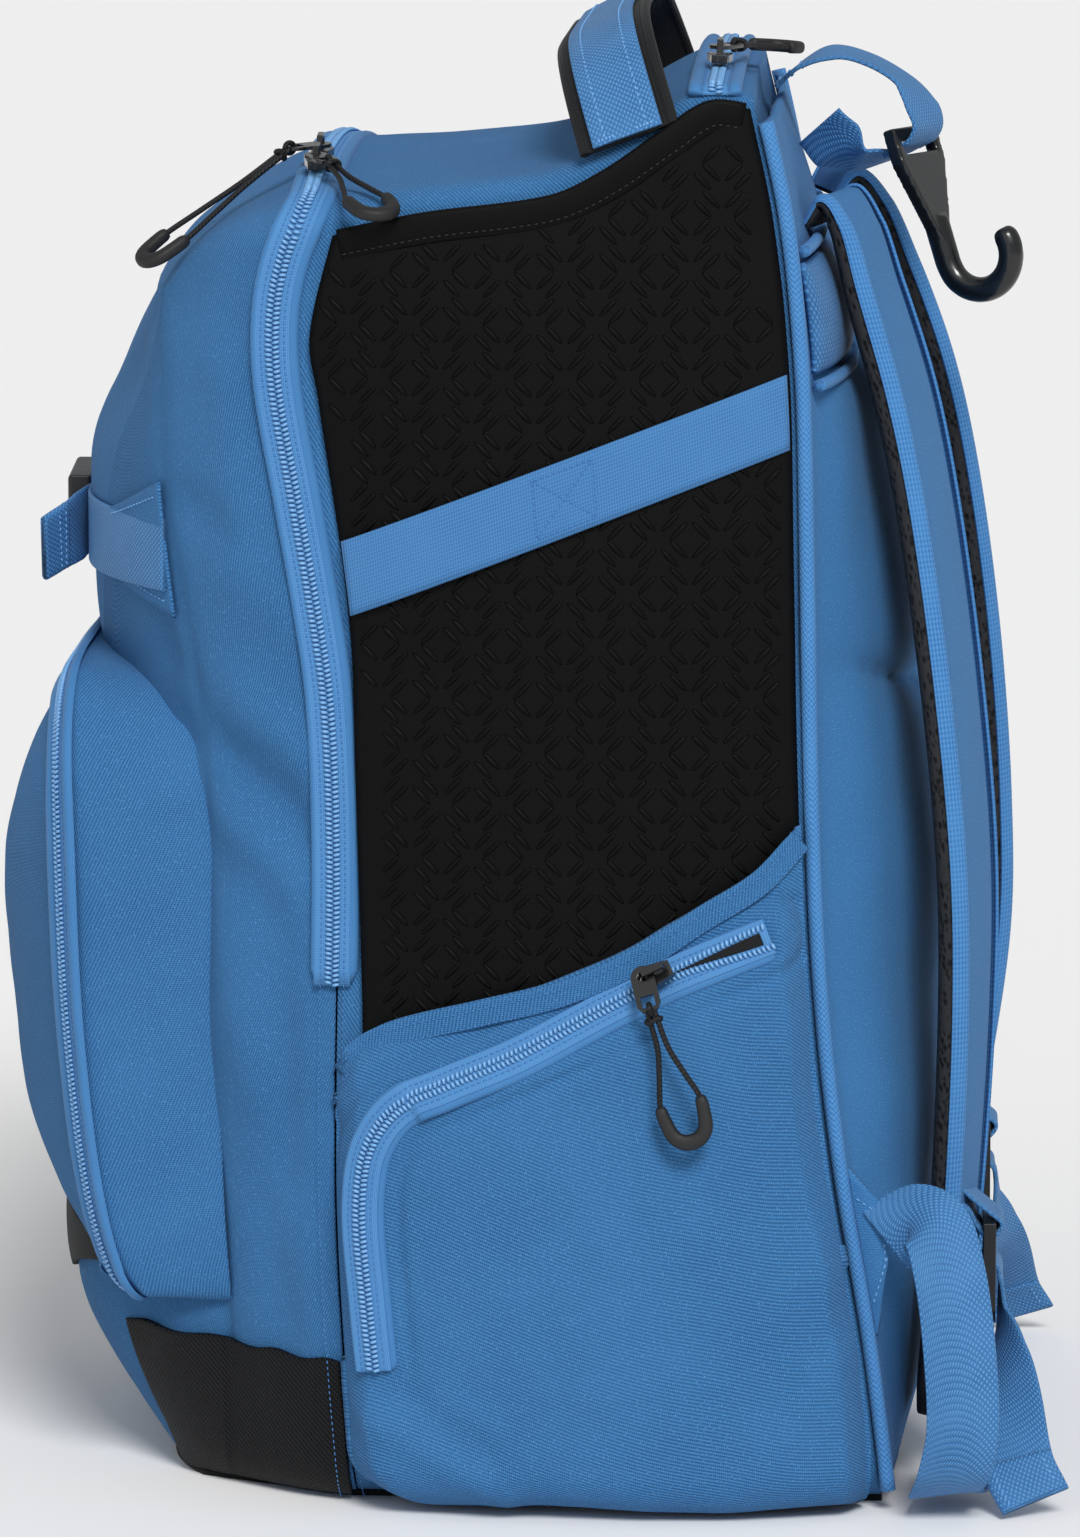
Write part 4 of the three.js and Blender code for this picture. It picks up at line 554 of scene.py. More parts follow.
def mound(low, high, rise, base=0.0, parts=8):
    """The section of a rounded lip from one distance across to another."""
    section = [(low, base), (high, base)]
    for i in range(parts + 1):
        angle = math.pi * i / parts
        a = mix(high, low, (1 - math.cos(angle)) / 2)
        section.append((a, base + 0.15 + rise * math.sin(angle) ** 0.7))
    return section


# %% [markdown]
# Stitches and teeth are the same small part over and over. Each could be an object of its own,
# but thousands of objects are slow, so the copies are joined into one piece. Folds and puckers are
# written as two ends, a height and a width, and the slow unevenness of cloth comes from noise.

# %% Helpers for threads and folds


def repeated(name, shape, places, finish, replaces=()):
    """Many copies of one small mesh, each at its own matrix, as one piece."""
    bm = bmesh.new()
    copy = shape.copy()
    for matrix in places:
        copy.transform(matrix)
        bm.from_mesh(copy)
        copy.transform(matrix.inverted())
    bpy.data.meshes.remove(copy)
    print(name, "repeats", len(places), "small parts")
    return finished(name, bm, finish, replaces)


def small_ball(detail=1):
    bm = bmesh.new()
    bmesh.ops.create_icosphere(bm, subdivisions=detail, radius=1)
    mesh = bpy.data.meshes.new("grain")
    bm.to_mesh(mesh)
    bm.free()
    return mesh


GRAIN = small_ball()


def laid(centre, along, across, out, sizes):
    """A matrix that lays a small part on a surface, in millimetres."""
    turn = Matrix((along, across, out)).transposed().to_4x4()
    return Matrix.Translation(centre * MM) @ turn @ Matrix.Diagonal((*(s * MM for s in sizes), 1))


def threads(name, lines, finish, pitch=2.6, radius=0.3, share=0.36):
    """Stitches: small grains of thread along each line(t), which gives a place and an outward way."""
    places = []
    for line in lines:
        for t in evenly(line, pitch):
            centre, out = line(t)
            ahead = line(min(t + 0.003, 1))[0] - line(max(t - 0.003, 0))[0]
            ahead.normalize()
            out = square_to(out, ahead)
            across = out.cross(ahead)
            places.append(laid(centre, ahead, across, out, (pitch * share, radius, radius)))
    return repeated(name, GRAIN, places, finish)


def crumple(p, size, amount, seed=0.0):
    """The soft unevenness of cloth at a given size, in millimetres."""
    return noise.noise(p / size + Vector((seed, 0, 0))) * amount


def near_line(a, b, start, end):
    """Distance in a plane from the point (a, b) to a straight line between two others."""
    ax, az = start
    bx, bz = end
    dx, dz = bx - ax, bz - az
    t = clamp(((a - ax) * dx + (b - az) * dz) / (dx * dx + dz * dz))
    return math.hypot(a - ax - dx * t, b - az - dz * t)


def bell(distance, width):
    return math.exp(-((distance / width) ** 2))


# %% [markdown]
# Each finish is a small network of nodes. A picture of cloth would blur close up and repeat itself,
# so the patterns are reckoned. Woven ones read the cloth's own UV map in metres, and a rib is as
# wide as the real thread. Moulded and painted parts read the object's own coordinates.

# %% Helpers for finishes
SINE_BANDS = 0.314159


def tone(red, green, blue):
    """A colour as it looks on a screen, made linear for the renderer."""
    return (*(((v / 255 + 0.055) / 1.055) ** 2.4 for v in (red, green, blue)), 1)


class Finish:
    """A procedural material and the slot of the record that it belongs to."""

    def __init__(self, name, slot, **values):
        self.slot = slot
        self.material = bpy.data.materials.new(name)
        self.material.use_nodes = True
        self.tree = self.material.node_tree
        self.shader = self.tree.nodes["Principled BSDF"]
        names = {
            "roughness": "Roughness",
            "specular": "Specular IOR Level",
            "sheen": "Sheen Weight",
            "sheen_roughness": "Sheen Roughness",
            "coat": "Coat Weight",
        }
        for key, value in values.items():
            self.shader.inputs[names[key]].default_value = value

    def add(self, kind, inputs=None, **settings):
        node = self.tree.nodes.new("ShaderNode" + kind)
        for key, value in settings.items():
            setattr(node, key, value)
        for key, value in (inputs or {}).items():
            if isinstance(value, bpy.types.NodeSocket):
                self.tree.links.new(value, node.inputs[key])
            else:
                node.inputs[key].default_value = value
        return node

    def on_cloth(self, turn=0.0, scale=(1, 1, 1)):
        uv = self.add("UVMap", uv_map="cloth").outputs[0]
        angle = (0, 0, math.radians(turn))
        return self.add("Mapping", {"Vector": uv, "Rotation": angle, "Scale": scale}).outputs[0]

    def on_object(self, scale=(1, 1, 1)):
        where = self.add("TexCoord").outputs["Object"]
        return self.add("Mapping", {"Vector": where, "Scale": scale}).outputs[0]

    def ribs(self, where, pitch, wobble=0.0, wobble_size=10.0):
        inputs = {
            "Vector": where,
            "Scale": SINE_BANDS / (pitch * MM),
            "Distortion": wobble,
            "Detail Scale": wobble_size,
        }
        return self.add("TexWave", inputs).outputs["Fac"]

    def mottle(self, where, size, detail=2.0):
        inputs = {"Vector": where, "Scale": 1 / (size * MM), "Detail": detail}
        return self.add("TexNoise", inputs).outputs["Fac"]

    def cells(self, where, size, feature="F1"):
        inputs = {"Vector": where, "Scale": 1 / (size * MM)}
        return self.add("TexVoronoi", inputs, feature=feature).outputs["Distance"]

    def reckon(self, operation, a, b=0.0):
        return self.add("Math", {0: a, 1: b}, operation=operation).outputs[0]

    def levels(self, value, low, high, to_low=0.0, to_high=1.0):
        inputs = {"Value": value, "From Min": low, "From Max": high, "To Min": to_low, "To Max": to_high}
        return self.add("MapRange", inputs).outputs[0]

    def blend(self, factor, dark, light):
        return self.add("Mix", {0: factor, 6: dark, 7: light}, data_type="RGBA").outputs[2]

    def colour(self, socket):
        self.tree.links.new(socket, self.shader.inputs["Base Color"])

    def rough(self, value, low, high):
        self.tree.links.new(self.levels(value, 0, 1, low, high), self.shader.inputs["Roughness"])

    def bump(self, height, depth, strength=1.0):
        inputs = {"Height": height, "Distance": depth * MM, "Strength": strength}
        node = self.add("Bump", inputs)
        self.tree.links.new(node.outputs[0], self.shader.inputs["Normal"])


# %% [markdown]
# The blue canvas is a thick twill: fine slanted ribs about a millimetre apart, crossed by even finer
# threads. Pale specks are painted glints where a thread stands up and catches the light. Modelled
# threads would be far too many, so two sets of waves stand for them. They drive the bump, and they paint
# the rib valleys darker as shade.

# %% Cloth finishes
# The deep blue is painted shade in the rib valleys, and the pale blue is the painted glint of the
# specks.
BLUE_DEEP = tone(36, 82, 128)
BLUE = tone(66, 124, 178)
BLUE_GLINT = tone(96, 154, 208)


def twill(name, slot, deep, full, pale, pitch=1.18, lean=-62.0, depth=0.32):
    cloth_finish = Finish(name, slot, roughness=0.88, specular=0.12, sheen=0.04, sheen_roughness=0.5)
    f = cloth_finish
    ribs = f.ribs(f.on_cloth(lean), pitch, 0.35, 60)
    cross = f.ribs(f.on_cloth(lean + 78), pitch * 0.62, 0.3, 60)
    weave = f.reckon("ADD", f.reckon("MULTIPLY", ribs, 0.65), f.reckon("MULTIPLY", cross, 0.35))
    wear = f.mottle(f.on_object(), 38, 4)
    # Pale specks are painted glints, where a thread stands up and catches the light.
    glint_specks = f.levels(f.mottle(f.on_cloth(), 0.7, 0), 0.62, 0.8)
    # The rib valleys are painted darker as shade.
    shade = f.blend(f.levels(weave, 0.1, 0.85), deep, full)
    worn = f.blend(f.levels(wear, 0.35, 0.75, 0, 0.35), shade, full)
    f.colour(f.blend(f.reckon("MULTIPLY", glint_specks, 0.55), worn, pale))
    f.rough(wear, 0.74, 0.9)
    f.bump(f.reckon("ADD", weave, f.reckon("MULTIPLY", glint_specks, 0.3)), depth)
    return cloth_finish


canvas = twill("canvas_shell", "shell_cloth", BLUE_DEEP, BLUE, BLUE_GLINT)
canvas_pocket = twill("canvas_pocket", "pocket_cloth", BLUE_DEEP, BLUE, BLUE_GLINT)
canvas_smooth = twill(
    "canvas_smooth", "back_padding", tone(48, 100, 150), tone(64, 122, 176), BLUE_GLINT, 0.8, -62, 0.1
)


def fine_weave(name, slot, deep, full, pitch, depth, roughness=0.75, across=0.0):
    """A plain close weave for tapes, hems and bindings."""
    f = Finish(name, slot, roughness=roughness, specular=0.2, sheen=0.06, sheen_roughness=0.5)
    ribs = f.ribs(f.on_cloth(across), pitch, 0.25, 50)
    cross = f.ribs(f.on_cloth(across + 90), pitch * 1.4, 0.2, 50)
    weave = f.reckon("ADD", f.reckon("MULTIPLY", ribs, 0.6), f.reckon("MULTIPLY", cross, 0.4))
    wear = f.mottle(f.on_object(), 20, 3)
    shade = f.blend(f.levels(weave, 0.1, 0.8), deep, full)
    f.colour(f.blend(f.levels(wear, 0.3, 0.8, 0, 0.4), shade, full))
    f.bump(weave, depth)
    return f


zip_tape = fine_weave("zip_tape", "zip_tape", tone(60, 114, 168), tone(84, 140, 194), 0.7, 0.08)
lip_cloth = fine_weave("zip_lips", "zip_tape", tone(52, 106, 158), tone(70, 126, 180), 0.55, 0.05, 0.68)
elastic_knit = fine_weave(
    "elastic_knit", "elastic_band", tone(50, 102, 156), tone(74, 128, 182), 0.95, 0.2
)
binding = fine_weave("binding", "strap_padding", tone(50, 104, 160), tone(76, 136, 194), 1.3, 0.25)
rope_cloth = fine_weave(
    "piping_cloth", "piping", tone(50, 104, 160), tone(78, 138, 196), 1.2, 0.2, 0.75, 35
)
black_binding = fine_weave(
    "black_binding", "handle_backing", tone(10, 11, 12), tone(30, 31, 33), 1.0, 0.2
)


def pebbled_webbing(name, slot, deep, full, pitch):
    """Webbing: two mirrored sets of slanting ribs that meet as chevrons."""
    f = Finish(name, slot, roughness=0.64, specular=0.28, sheen=0.05, sheen_roughness=0.5)
    one = f.ribs(f.on_cloth(38), pitch, 0.1, 40)
    other = f.ribs(f.on_cloth(-38), pitch, 0.1, 40)
    pebbles = f.reckon("MULTIPLY", one, other)
    wear = f.mottle(f.on_object(), 16, 3)
    shade = f.blend(f.levels(pebbles, 0.02, 0.5), deep, full)
    f.colour(f.blend(f.levels(wear, 0.35, 0.8, 0, 0.3), shade, full))
    f.bump(pebbles, 0.35)
    return f


webbing_blue = pebbled_webbing("webbing_blue", "webbing", tone(46, 98, 150), tone(84, 144, 200), 1.5)
knit_blue = pebbled_webbing("knit_blue", "back_padding", tone(42, 92, 144), tone(74, 134, 190), 1.9)
black_cloth = fine_weave("black_cloth", "base_cloth", tone(8, 9, 10), tone(24, 25, 27), 0.9, 0.2)
toe_cloth = fine_weave("toe_cloth", "toe_cloth", tone(7, 8, 9), tone(22, 23, 25), 0.9, 0.2)

# %% [markdown]
# The boots are ballistic nylon: a coarse black basket weave whose thick yarns shine a little at
# their crowns, which the larger of two crossed waves gives. The sleeves are neoprene with a fine
# knitted face. The straps are lined with air mesh, a black cloth of small round holes, and the
# distance to the nearest cell of a Voronoi texture draws those.

# %% Black finishes
boot_nylon = Finish("boot_nylon", "base_cloth", roughness=0.55, specular=0.16)
f = boot_nylon
warp = f.ribs(f.on_cloth(45), 1.5, 0.3, 40)
weft = f.ribs(f.on_cloth(-45), 1.5, 0.3, 40)
basket = f.reckon("MAXIMUM", f.reckon("POWER", warp, 2.0), f.reckon("POWER", weft, 2.0))
yarn = f.mottle(f.on_cloth(), 0.35, 2)
f.colour(f.blend(f.reckon("MULTIPLY", basket, yarn), tone(4, 4, 5), tone(34, 36, 40)))
f.rough(yarn, 0.38, 0.62)
f.bump(basket, 0.5)

neoprene = Finish("neoprene", "neoprene", roughness=0.46, specular=0.1)
f = neoprene
knit = f.reckon("MULTIPLY", f.ribs(f.on_cloth(90), 0.8, 0.5, 60), f.ribs(f.on_cloth(0), 0.6, 0.5, 60))
cloud = f.mottle(f.on_object(), 60, 3)
f.colour(f.blend(f.reckon("MULTIPLY", knit, cloud), tone(3, 3, 4), tone(17, 18, 20)))
f.rough(cloud, 0.46, 0.62)
f.bump(knit, 0.06)

air_mesh = Finish("air_mesh", "strap_padding", roughness=0.8, specular=0.3)
f = air_mesh
holes = f.levels(f.cells(f.on_cloth(20, (1, 0.7, 1)), 2.3), 0.15, 0.5)
f.colour(f.blend(holes, tone(3, 3, 3), tone(36, 37, 40)))
f.bump(holes, 0.8)

# %% [markdown]
# Hard parts are smooth moulded plastic with a faint unevenness, black lacquer on the sliders, a
# satin coil for the teeth and a matt rubber grip. One recipe with a few values serves them all. The
# braided cord needs its own, with two sets of ribs that cross along it.

# %% Hard finishes


def moulded(name, slot, low, high, roughness, grain, depth, **values):
    f = Finish(name, slot, roughness=roughness, **values)
    uneven = f.mottle(f.on_object(), grain, 3)
    f.colour(f.blend(uneven, low, high))
    f.rough(f.mottle(f.on_object(), grain * 4, 3), roughness - 0.06, roughness + 0.08)
    f.bump(uneven, depth)
    return f


black_plastic = moulded(
    "black_plastic", "buckle_plastic", tone(10, 11, 12), tone(30, 31, 33), 0.36, 0.5, 0.03
)
hook_plastic = moulded(
    "hook_plastic", "hook_plastic", tone(9, 10, 11), tone(22, 23, 25), 0.24, 6, 0.02, coat=0.25
)
lacquer = moulded("black_lacquer", "zip_metal", tone(7, 7, 8), tone(20, 20, 22), 0.25, 2, 0.02, coat=0.4)
rubber = moulded("rubber_grip", "pull_grip", tone(12, 12, 13), tone(28, 28, 30), 0.62, 0.4, 0.05)
coil_plastic = moulded(
    "zip_coil", "zip_tape", tone(84, 140, 196), tone(132, 184, 230), 0.32, 1.2, 0.02, specular=0.6
)
thread_blue = moulded("thread_blue", "webbing", tone(36, 86, 142), tone(84, 146, 208), 0.6, 0.5, 0.05)
thread_pale = moulded("thread_pale", "webbing", tone(76, 138, 200), tone(132, 186, 234), 0.55, 0.5, 0.05)
thread_black = moulded("thread_black", "base_cloth", tone(8, 8, 9), tone(30, 30, 33), 0.6, 0.5, 0.05)
braid = Finish("cord_braid", "pull_cord", roughness=0.55, specular=0.35)
f = braid
plaits = f.reckon("MULTIPLY", f.ribs(f.on_cloth(40), 1.1), f.ribs(f.on_cloth(-40), 1.1))
f.colour(f.blend(plaits, tone(7, 7, 8), tone(40, 41, 44)))
f.bump(plaits, 0.25)
print("finishes:", len(bpy.data.materials))

# %% [markdown]
# The two compartments are soft boxes of canvas. Panels joined at their seams would need matching
# edges, so each box is one continuous skin: rings right round the bag, then rings drawn in to the
# middle of its face. The cloth is never quite flat. A slow noise swells it a little, and a few
# measured folds press into the side of the front compartment.

# %% Bodies of the two compartments
BACK_CENTRE = HEIGHT * 0.5
FACE_CENTRE = HEIGHT * 0.43


def main_skin(u, v):
    if v <= 0.6:
        return ring_point(mix(0.997, 0, v / 0.6), u)
    share = 1 - (v - 0.6) / 0.4
    rim = ring_point(0, u)
    x = rim.x * share
    z = mix(BACK_CENTRE, rim.z, share)
    return Vector((x, mix(rim.y, back_at(x, z, 0), ease(1 - share, 0, 0.15)), z))


def front_skin(u, v):
    if v <= 0.45:
        return ring_point(mix(1.006, 2, v / 0.45), u)
    share = 1 - (v - 0.45) / 0.55
    rim = ring_point(2, u)
    x = rim.x * share
    z = mix(FACE_CENTRE, rim.z, share)
    return Vector((x, face_at(x, z), z))


# Folds on the side of the front compartment: two ends as y, z, then height and width
GUSSET_FOLDS = [
    ((-129, 292), (-88, 268), 1.5, 7), ((-130, 270), (-88, 240), -2.2, 7.5),
    ((-128, 254), (-98, 222), 1.4, 8), ((-126, 215), (-112, 150), 0.8, 9),
    ((-104, 225), (-98, 120), -0.9, 9), ((-118, 330), (-96, 318), 0.8, 9),
    ((-141, 356), (-120, 346), -1.2, 6), ((-141, 300), (-122, 290), -0.9, 5),
    ((-108, 110), (-100, 62), -0.8, 8), ((-118, 395), (-116, 340), 0.6, 8),
]
FOLD_STRENGTH = 2.7
GUSSET_FROM = 95
CREASE_DEPTH = 1.3
CREASE_TOP = 425


def folds_at(p, folds):
    """How far a table of folds lifts the cloth at one point of the bag's side."""
    return sum(
        height * bell(near_line(p.y, p.z, start, end), width) for start, end, height, width in folds
    )


def gusset_folds(p):
    if abs(p.x) <= GUSSET_FROM:
        return 0.0
    away = ease(zip_at(p.z) - 2 - p.y, 0, 16)
    behind_seam = p.y - front_seam_at(p.z)
    sewn = 1 - 0.8 * bell(behind_seam, 5)
    crease = -CREASE_DEPTH * bell(behind_seam, 2.6) if p.z < CREASE_TOP else 0
    return FOLD_STRENGTH * folds_at(p, GUSSET_FOLDS) * away * sewn + crease


def main_relief(p):
    return crumple(p, 70, 1.1) + crumple(p, 26, 0.35, 7)


def front_relief(p):
    calm = ease(abs(p.y - zip_at(p.z)), 1, 20)
    puffs = crumple(p, 55, 1.5, 3) + crumple(p, 21, 0.5, 9) + crumple(p, 9, 0.14, 5)
    return puffs * calm * 0.9 + gusset_folds(p)


cloth("main_body", main_skin, 160, 90, canvas, ["main_shell"], 2.5, closed=True, relief=main_relief)
cloth(
    "front_body", front_skin, 240, 130, canvas, ["front_shell"], 2.5,
    inside=(0, -60, 240), closed=True, relief=front_relief,
)

# %% [markdown]
# The front pocket is a deep patch: a side wall all round it, then a full crowned face. A box with
# bevelled edges would look stiff, so its outline is kept as a route through its corners. It
# travels out from the bag to draw the wall, then shrinks towards the middle to draw the face.

# %% Front pocket
POCKET_LOW = 62
POCKET_ARCH = 35
POCKET_HIGH = 292
POCKET_MIDDLE = (POCKET_LOW + POCKET_HIGH) / 2
POCKET_WIDE = front_half_width(POCKET_MIDDLE)
POCKET_DEPTH = 48
POCKET_CROWN = 36
pocket_full_at = through(
    [(0.1, 0.42), (0.13, 0.56), (0.16, 0.74), (0.24, 0.89), (0.34, 0.95), (0.47, 1), (0.56, 0.98),
     (0.64, 0.86)],
    HEIGHT, 1,
)


def pocket_half_outline():
    """Half of the front pocket's outline, from the middle of its foot to the middle of its top."""
    radius, foot, wide = 52, 14, POCKET_WIDE
    half = []
    for i in range(3):
        x = (wide - foot) * i / 2
        half.append((x, 0, POCKET_LOW + POCKET_ARCH * (1 - (x / wide) ** 2)))
    half.append((wide - 0.3 * foot, 0, POCKET_LOW + 0.5 * foot))
    half.append((wide, 0, POCKET_LOW + 1.8 * foot))
    half.append((wide, 0, mix(POCKET_LOW, POCKET_HIGH - radius, 0.45)))
    for i in range(5):
        turn = i / 4 * math.pi / 2
        x = wide - radius * (1 - math.cos(turn))
        half.append((x, 0, POCKET_HIGH - radius * (1 - math.sin(turn))))
    half.append(((wide - radius) / 2, 0, POCKET_HIGH + 1))
    half.append((0, 0, POCKET_HIGH + 1.5))
    return half


HALF_OUTLINE = pocket_half_outline()
outline_route = Route(HALF_OUTLINE)


def pocket_front(share, z):
    full = pocket_full_at(z)
    edge = front_seam_at(z) - POCKET_DEPTH * full
    return edge - POCKET_CROWN * (1 - clamp(share) ** 2.2) * full**0.5


def pocket_skin(u, v):
    half = outline_route.at(min(u, 1 - u) * 2)
    x = half.x if u <= 0.5 else -half.x
    if v < 0.36:
        share, out = 1, 0.93 * v / 0.36
    elif v < 0.46:
        turn = (v - 0.36) / 0.1 * math.pi / 2
        share, out = 1 - 0.03 * (1 - math.cos(turn)), 0.93 + 0.07 * math.sin(turn)
    else:
        share, out = 0.97 * (1 - (v - 0.46) / 0.54), 1
    px = x * share
    pz = POCKET_MIDDLE + (half.z - POCKET_MIDDLE) * share
    root = face_at(px, pz) + 3
    return Vector((px, mix(root, pocket_front(share, pz), out), pz))


# Folds in the pocket's side wall, and how far out that wall begins
WALL_FOLDS = [((-140, 240), (-158, 200), -1.2, 6), ((-136, 120), (-150, 96), -0.9, 6)]
WALL_FROM = 100


def pocket_relief(p):
    fold = folds_at(p, WALL_FOLDS) if abs(p.x) > WALL_FROM else 0
    return crumple(p, 50, 2.2, 11) + crumple(p, 20, 0.6, 2) + fold


cloth(
    "pocket_front_cloth", pocket_skin, 200, 90, canvas_pocket, ["front_pocket"], 2,
    inside=(0, -90, 180), closed=True, relief=pocket_relief,
)

# %% [markdown]
# Below the pocket lies a crescent of black cloth, and below that the canvas shows again. The base
# is one black sheet. A boot of ballistic nylon wraps each lower front corner. Each of them is laid
# on the shell's own surface, a little further out, because it is sewn on top of the canvas.

# %% Toe band, base and boots
TOE_HALF = 88


def toe_skin(u, v):
    x = mix(-TOE_HALF, TOE_HALF, u)
    share = (x / TOE_HALF) ** 2
    top = POCKET_LOW + POCKET_ARCH * (1 - (x / POCKET_WIDE) ** 2) - 1.5
    z = mix(mix(58, top - 4, share), top, v)
    return Vector((x, face_at(x, z) - 2 - 5 * v * (1 - share), z))


cloth("toe_band_cloth", toe_skin, 48, 10, toe_cloth, ["toe_band"], 2, inside=(0, -60, 80))


def base_skin(u, v):
    station = v * 2
    across = mix(-1, 1, u)
    x = shell_point(station, 0.2).x
    y = shell_point(station, abs(across) * 0.2).y
    return Vector((x * across, y, 0))


cloth("base_cloth_sheet", base_skin, 40, 60, black_cloth, ["base_panel"], 2.2, inside=(0, 0, 100))


def boot_skin(side):
    def place(u, v):
        turn = mix(0.33, 1, min(v / 0.4, 1)) * math.pi / 2
        up = clamp((v - 0.4) / 0.6)
        corner = BOTTOM + BOTTOM_RADIUS * (1 - math.cos(turn))
        z = mix(corner, 52 + 4 * u + 0.8 * math.sin(u * 23) * up, up)
        inset = BOTTOM_RADIUS * (1 - math.sin(turn))
        out = 2.4 + 0.5 * math.sin(u * 17 + 1) * up**2
        low = z - out * math.cos(turn)
        beside = out * math.sin(turn)
        wide = front_half_width(z)
        if u < 0.6:
            y = mix(zip_at(z) - 1.5, front_seam_at(z), u / 0.6)
            at = 1 + (y - zip_at(z)) / (front_seam_at(z) - zip_at(z))
            lead = clamp((u / 0.6 - 0.75) / 0.25) * 0.6
            return Vector(((width_at(at, z) - inset + beside) * side, y - out * lead, low))
        t = (u - 0.6) / 0.4
        x = mix(wide, 92, t)
        return Vector(((x - (inset - beside) * (1 - t)) * side, face_at(x, z) - out, low))

    return place


SIDES = [(1, "right"), (-1, "left")]
for side, word in SIDES:
    cloth(
        f"boot_cloth_{word}", boot_skin(side), 90, 40, boot_nylon, [f"boot_{word}"], 2,
        inside=(60 * side, -60, 60),
    )

# %% [markdown]
# A bat stands in a neoprene sleeve on each side. The sleeve bulges away from the shell, so its
# surface is the shell's side plus the room behind it. Sewing it flat and inflating it would give a
# rounder form than the photograph shows, so its fullness is written as two sines.

# %% Bat sleeves
SLEEVE_INSET = 1.6


def sleeve_out(y, z):
    front = sleeve_front_at(z)
    back = rear_at(z) - SLEEVE_INSET
    top = side_seam_at((y - rear_at(z)) / (zip_at(z) - rear_at(z)))
    u = clamp((y - front) / (back - front))
    v = clamp(0.06 + 0.86 * (z - SLEEVE_HEM) / (top - SLEEVE_HEM))
    return GAP + SLEEVE_ROOM * math.sin(math.pi * u) ** 0.7 * math.sin(math.pi * v) ** 0.5


def sleeve_place(u, v):
    """Where a share of the sleeve's width and height lies, as y and z."""
    z = mix(SLEEVE_HEM, HEIGHT * 0.9, v)
    y = 0
    for _ in range(6):
        y = mix(sleeve_front_at(z), rear_at(z) - SLEEVE_INSET, u)
        station = (y - rear_at(z)) / (zip_at(z) - rear_at(z))
        z = mix(SLEEVE_HEM, side_seam_at(clamp(station)) - 1, v)
    return y, z


def on_sleeve(side, y, z, more=0.0):
    return Vector(((side_point(y, z).x + sleeve_out(y, z) + SLEEVE_WALL + more) * side, y, z))


def sleeve_relief(p):
    return crumple(p, 60, 1.4, 21) + crumple(p, 24, 0.4, 4)


# %% [markdown]
# The raised strokes of the knit lie four pairs round each crossing, and keep clear of the seams.
# Displacing so fine a relief would take millions of faces, so each stroke is a small stretched
# ball, half sunk in the cloth.

# %% The knit's raised strokes
BAR_PITCH = 21.5
BAR_ROW = BAR_PITCH * 0.86
BAR_APART = 1.5
BAR_SIZE = (4.3, 0.95, 0.75)
BARS_LOW = 150
# Round a crossing: shares of the pitch behind and above it, and which way the stroke leans
BAR_CORNERS = [(0.25, 0.25, 1), (-0.25, 0.25, -1), (0.25, -0.25, -1), (-0.25, -0.25, 1)]


def bar_places():
    """Where the strokes lie, as y, z and lean: four pairs round each crossing of the lattice."""
    for row in range(-2, 26):
        for column in range(-6, 8):
            cy = column * BAR_PITCH + (BAR_PITCH / 2 if row % 2 else 0)
            cz = 30 + row * BAR_ROW
            for dy, dz, slant in BAR_CORNERS:
                for shift in (-BAR_APART, BAR_APART):
                    yield cy + dy * BAR_PITCH + shift * slant, cz + dz * BAR_ROW - shift, slant


def bar_fits(y, z):
    """Whether a stroke keeps clear of the sleeve's seams and of the side pocket."""
    station = clamp((y - rear_at(z)) / (zip_at(z) - rear_at(z)))
    between = sleeve_front_at(z) + 5 < y < rear_at(z) - 8
    return between and BARS_LOW <= z <= side_seam_at(station) - 13


def sleeve_bars(side):
    places = []
    for y, z, slant in bar_places():
        if bar_fits(y, z):
            centre = on_sleeve(side, y, z)
            centre.x += sleeve_relief(centre) * side
            along = (on_sleeve(side, y + 1, z + slant) - on_sleeve(side, y, z)).normalized()
            out = square_to(Vector((side, 0, 0)), along)
            places.append(laid(centre, along, out.cross(along), out, BAR_SIZE))
    return places


for side, word in SIDES:
    cloth(
        f"sleeve_cloth_{word}", lambda u, v: on_sleeve(side, *sleeve_place(u, v)), 60, 130, neoprene,
        [f"sleeve_{word}"], 3, relief=sleeve_relief,
    )
    repeated(f"sleeve_bars_{word}", small_ball(2), sleeve_bars(side), neoprene)


# %% [markdown]
# The sleeve's upper edge is turned over and sewn with one row of black thread. The turned edge has
# a section of its own and follows the rim, because a bevel could not show a fold's lower edge.

# %% Turned edge of the sleeve


def sleeve_hem(side):
    step = 0.004

    def at(t):
        share = mix(0.01, 0.99, t)
        y, z = sleeve_place(share, 1)
        ahead = on_sleeve(side, *sleeve_place(share + step, 1))
        forward = (ahead - on_sleeve(side, *sleeve_place(share - step, 1))).normalized()
        out = square_to(Vector((side, 0, 0)), forward)
        return on_sleeve(side, y, z, 0.2), out.cross(forward).normalized() * side, out

    return at


# The turned edge of the sleeve, as distances down from its rim and out from it
HEM_SECTION = [
    (-1.6, -3), (-1.8, -0.6), (-1.2, 0.7), (0, 1.0), (8.5, 0.9), (9.2, 0.2), (9.2, -1)
]
HEM_STITCHES_DOWN = 7
for side, word in SIDES:
    hem = sleeve_hem(side)
    down = -1 if hem(0.5)[1].z > 0 else 1
    section = [(a * down, o) for a, o in HEM_SECTION]
    ribbon(f"sleeve_hem_{word}", hem, 60, section, neoprene)
    stitched = frame_line(hem, HEM_STITCHES_DOWN * down, 1.0)
    threads(f"sleeve_hem_stitches_{word}", [stitched], thread_black)

# %% [markdown]
# The side pocket covers the sleeve's lower half. Its edges are sewn down, its middle swells to a
# soft crown, and its upper edge is hemmed. Cloth gathers at its lower corners. The columns of its
# grid crowd at both edges, where the cloth turns sharply, so that fewer faces are needed.

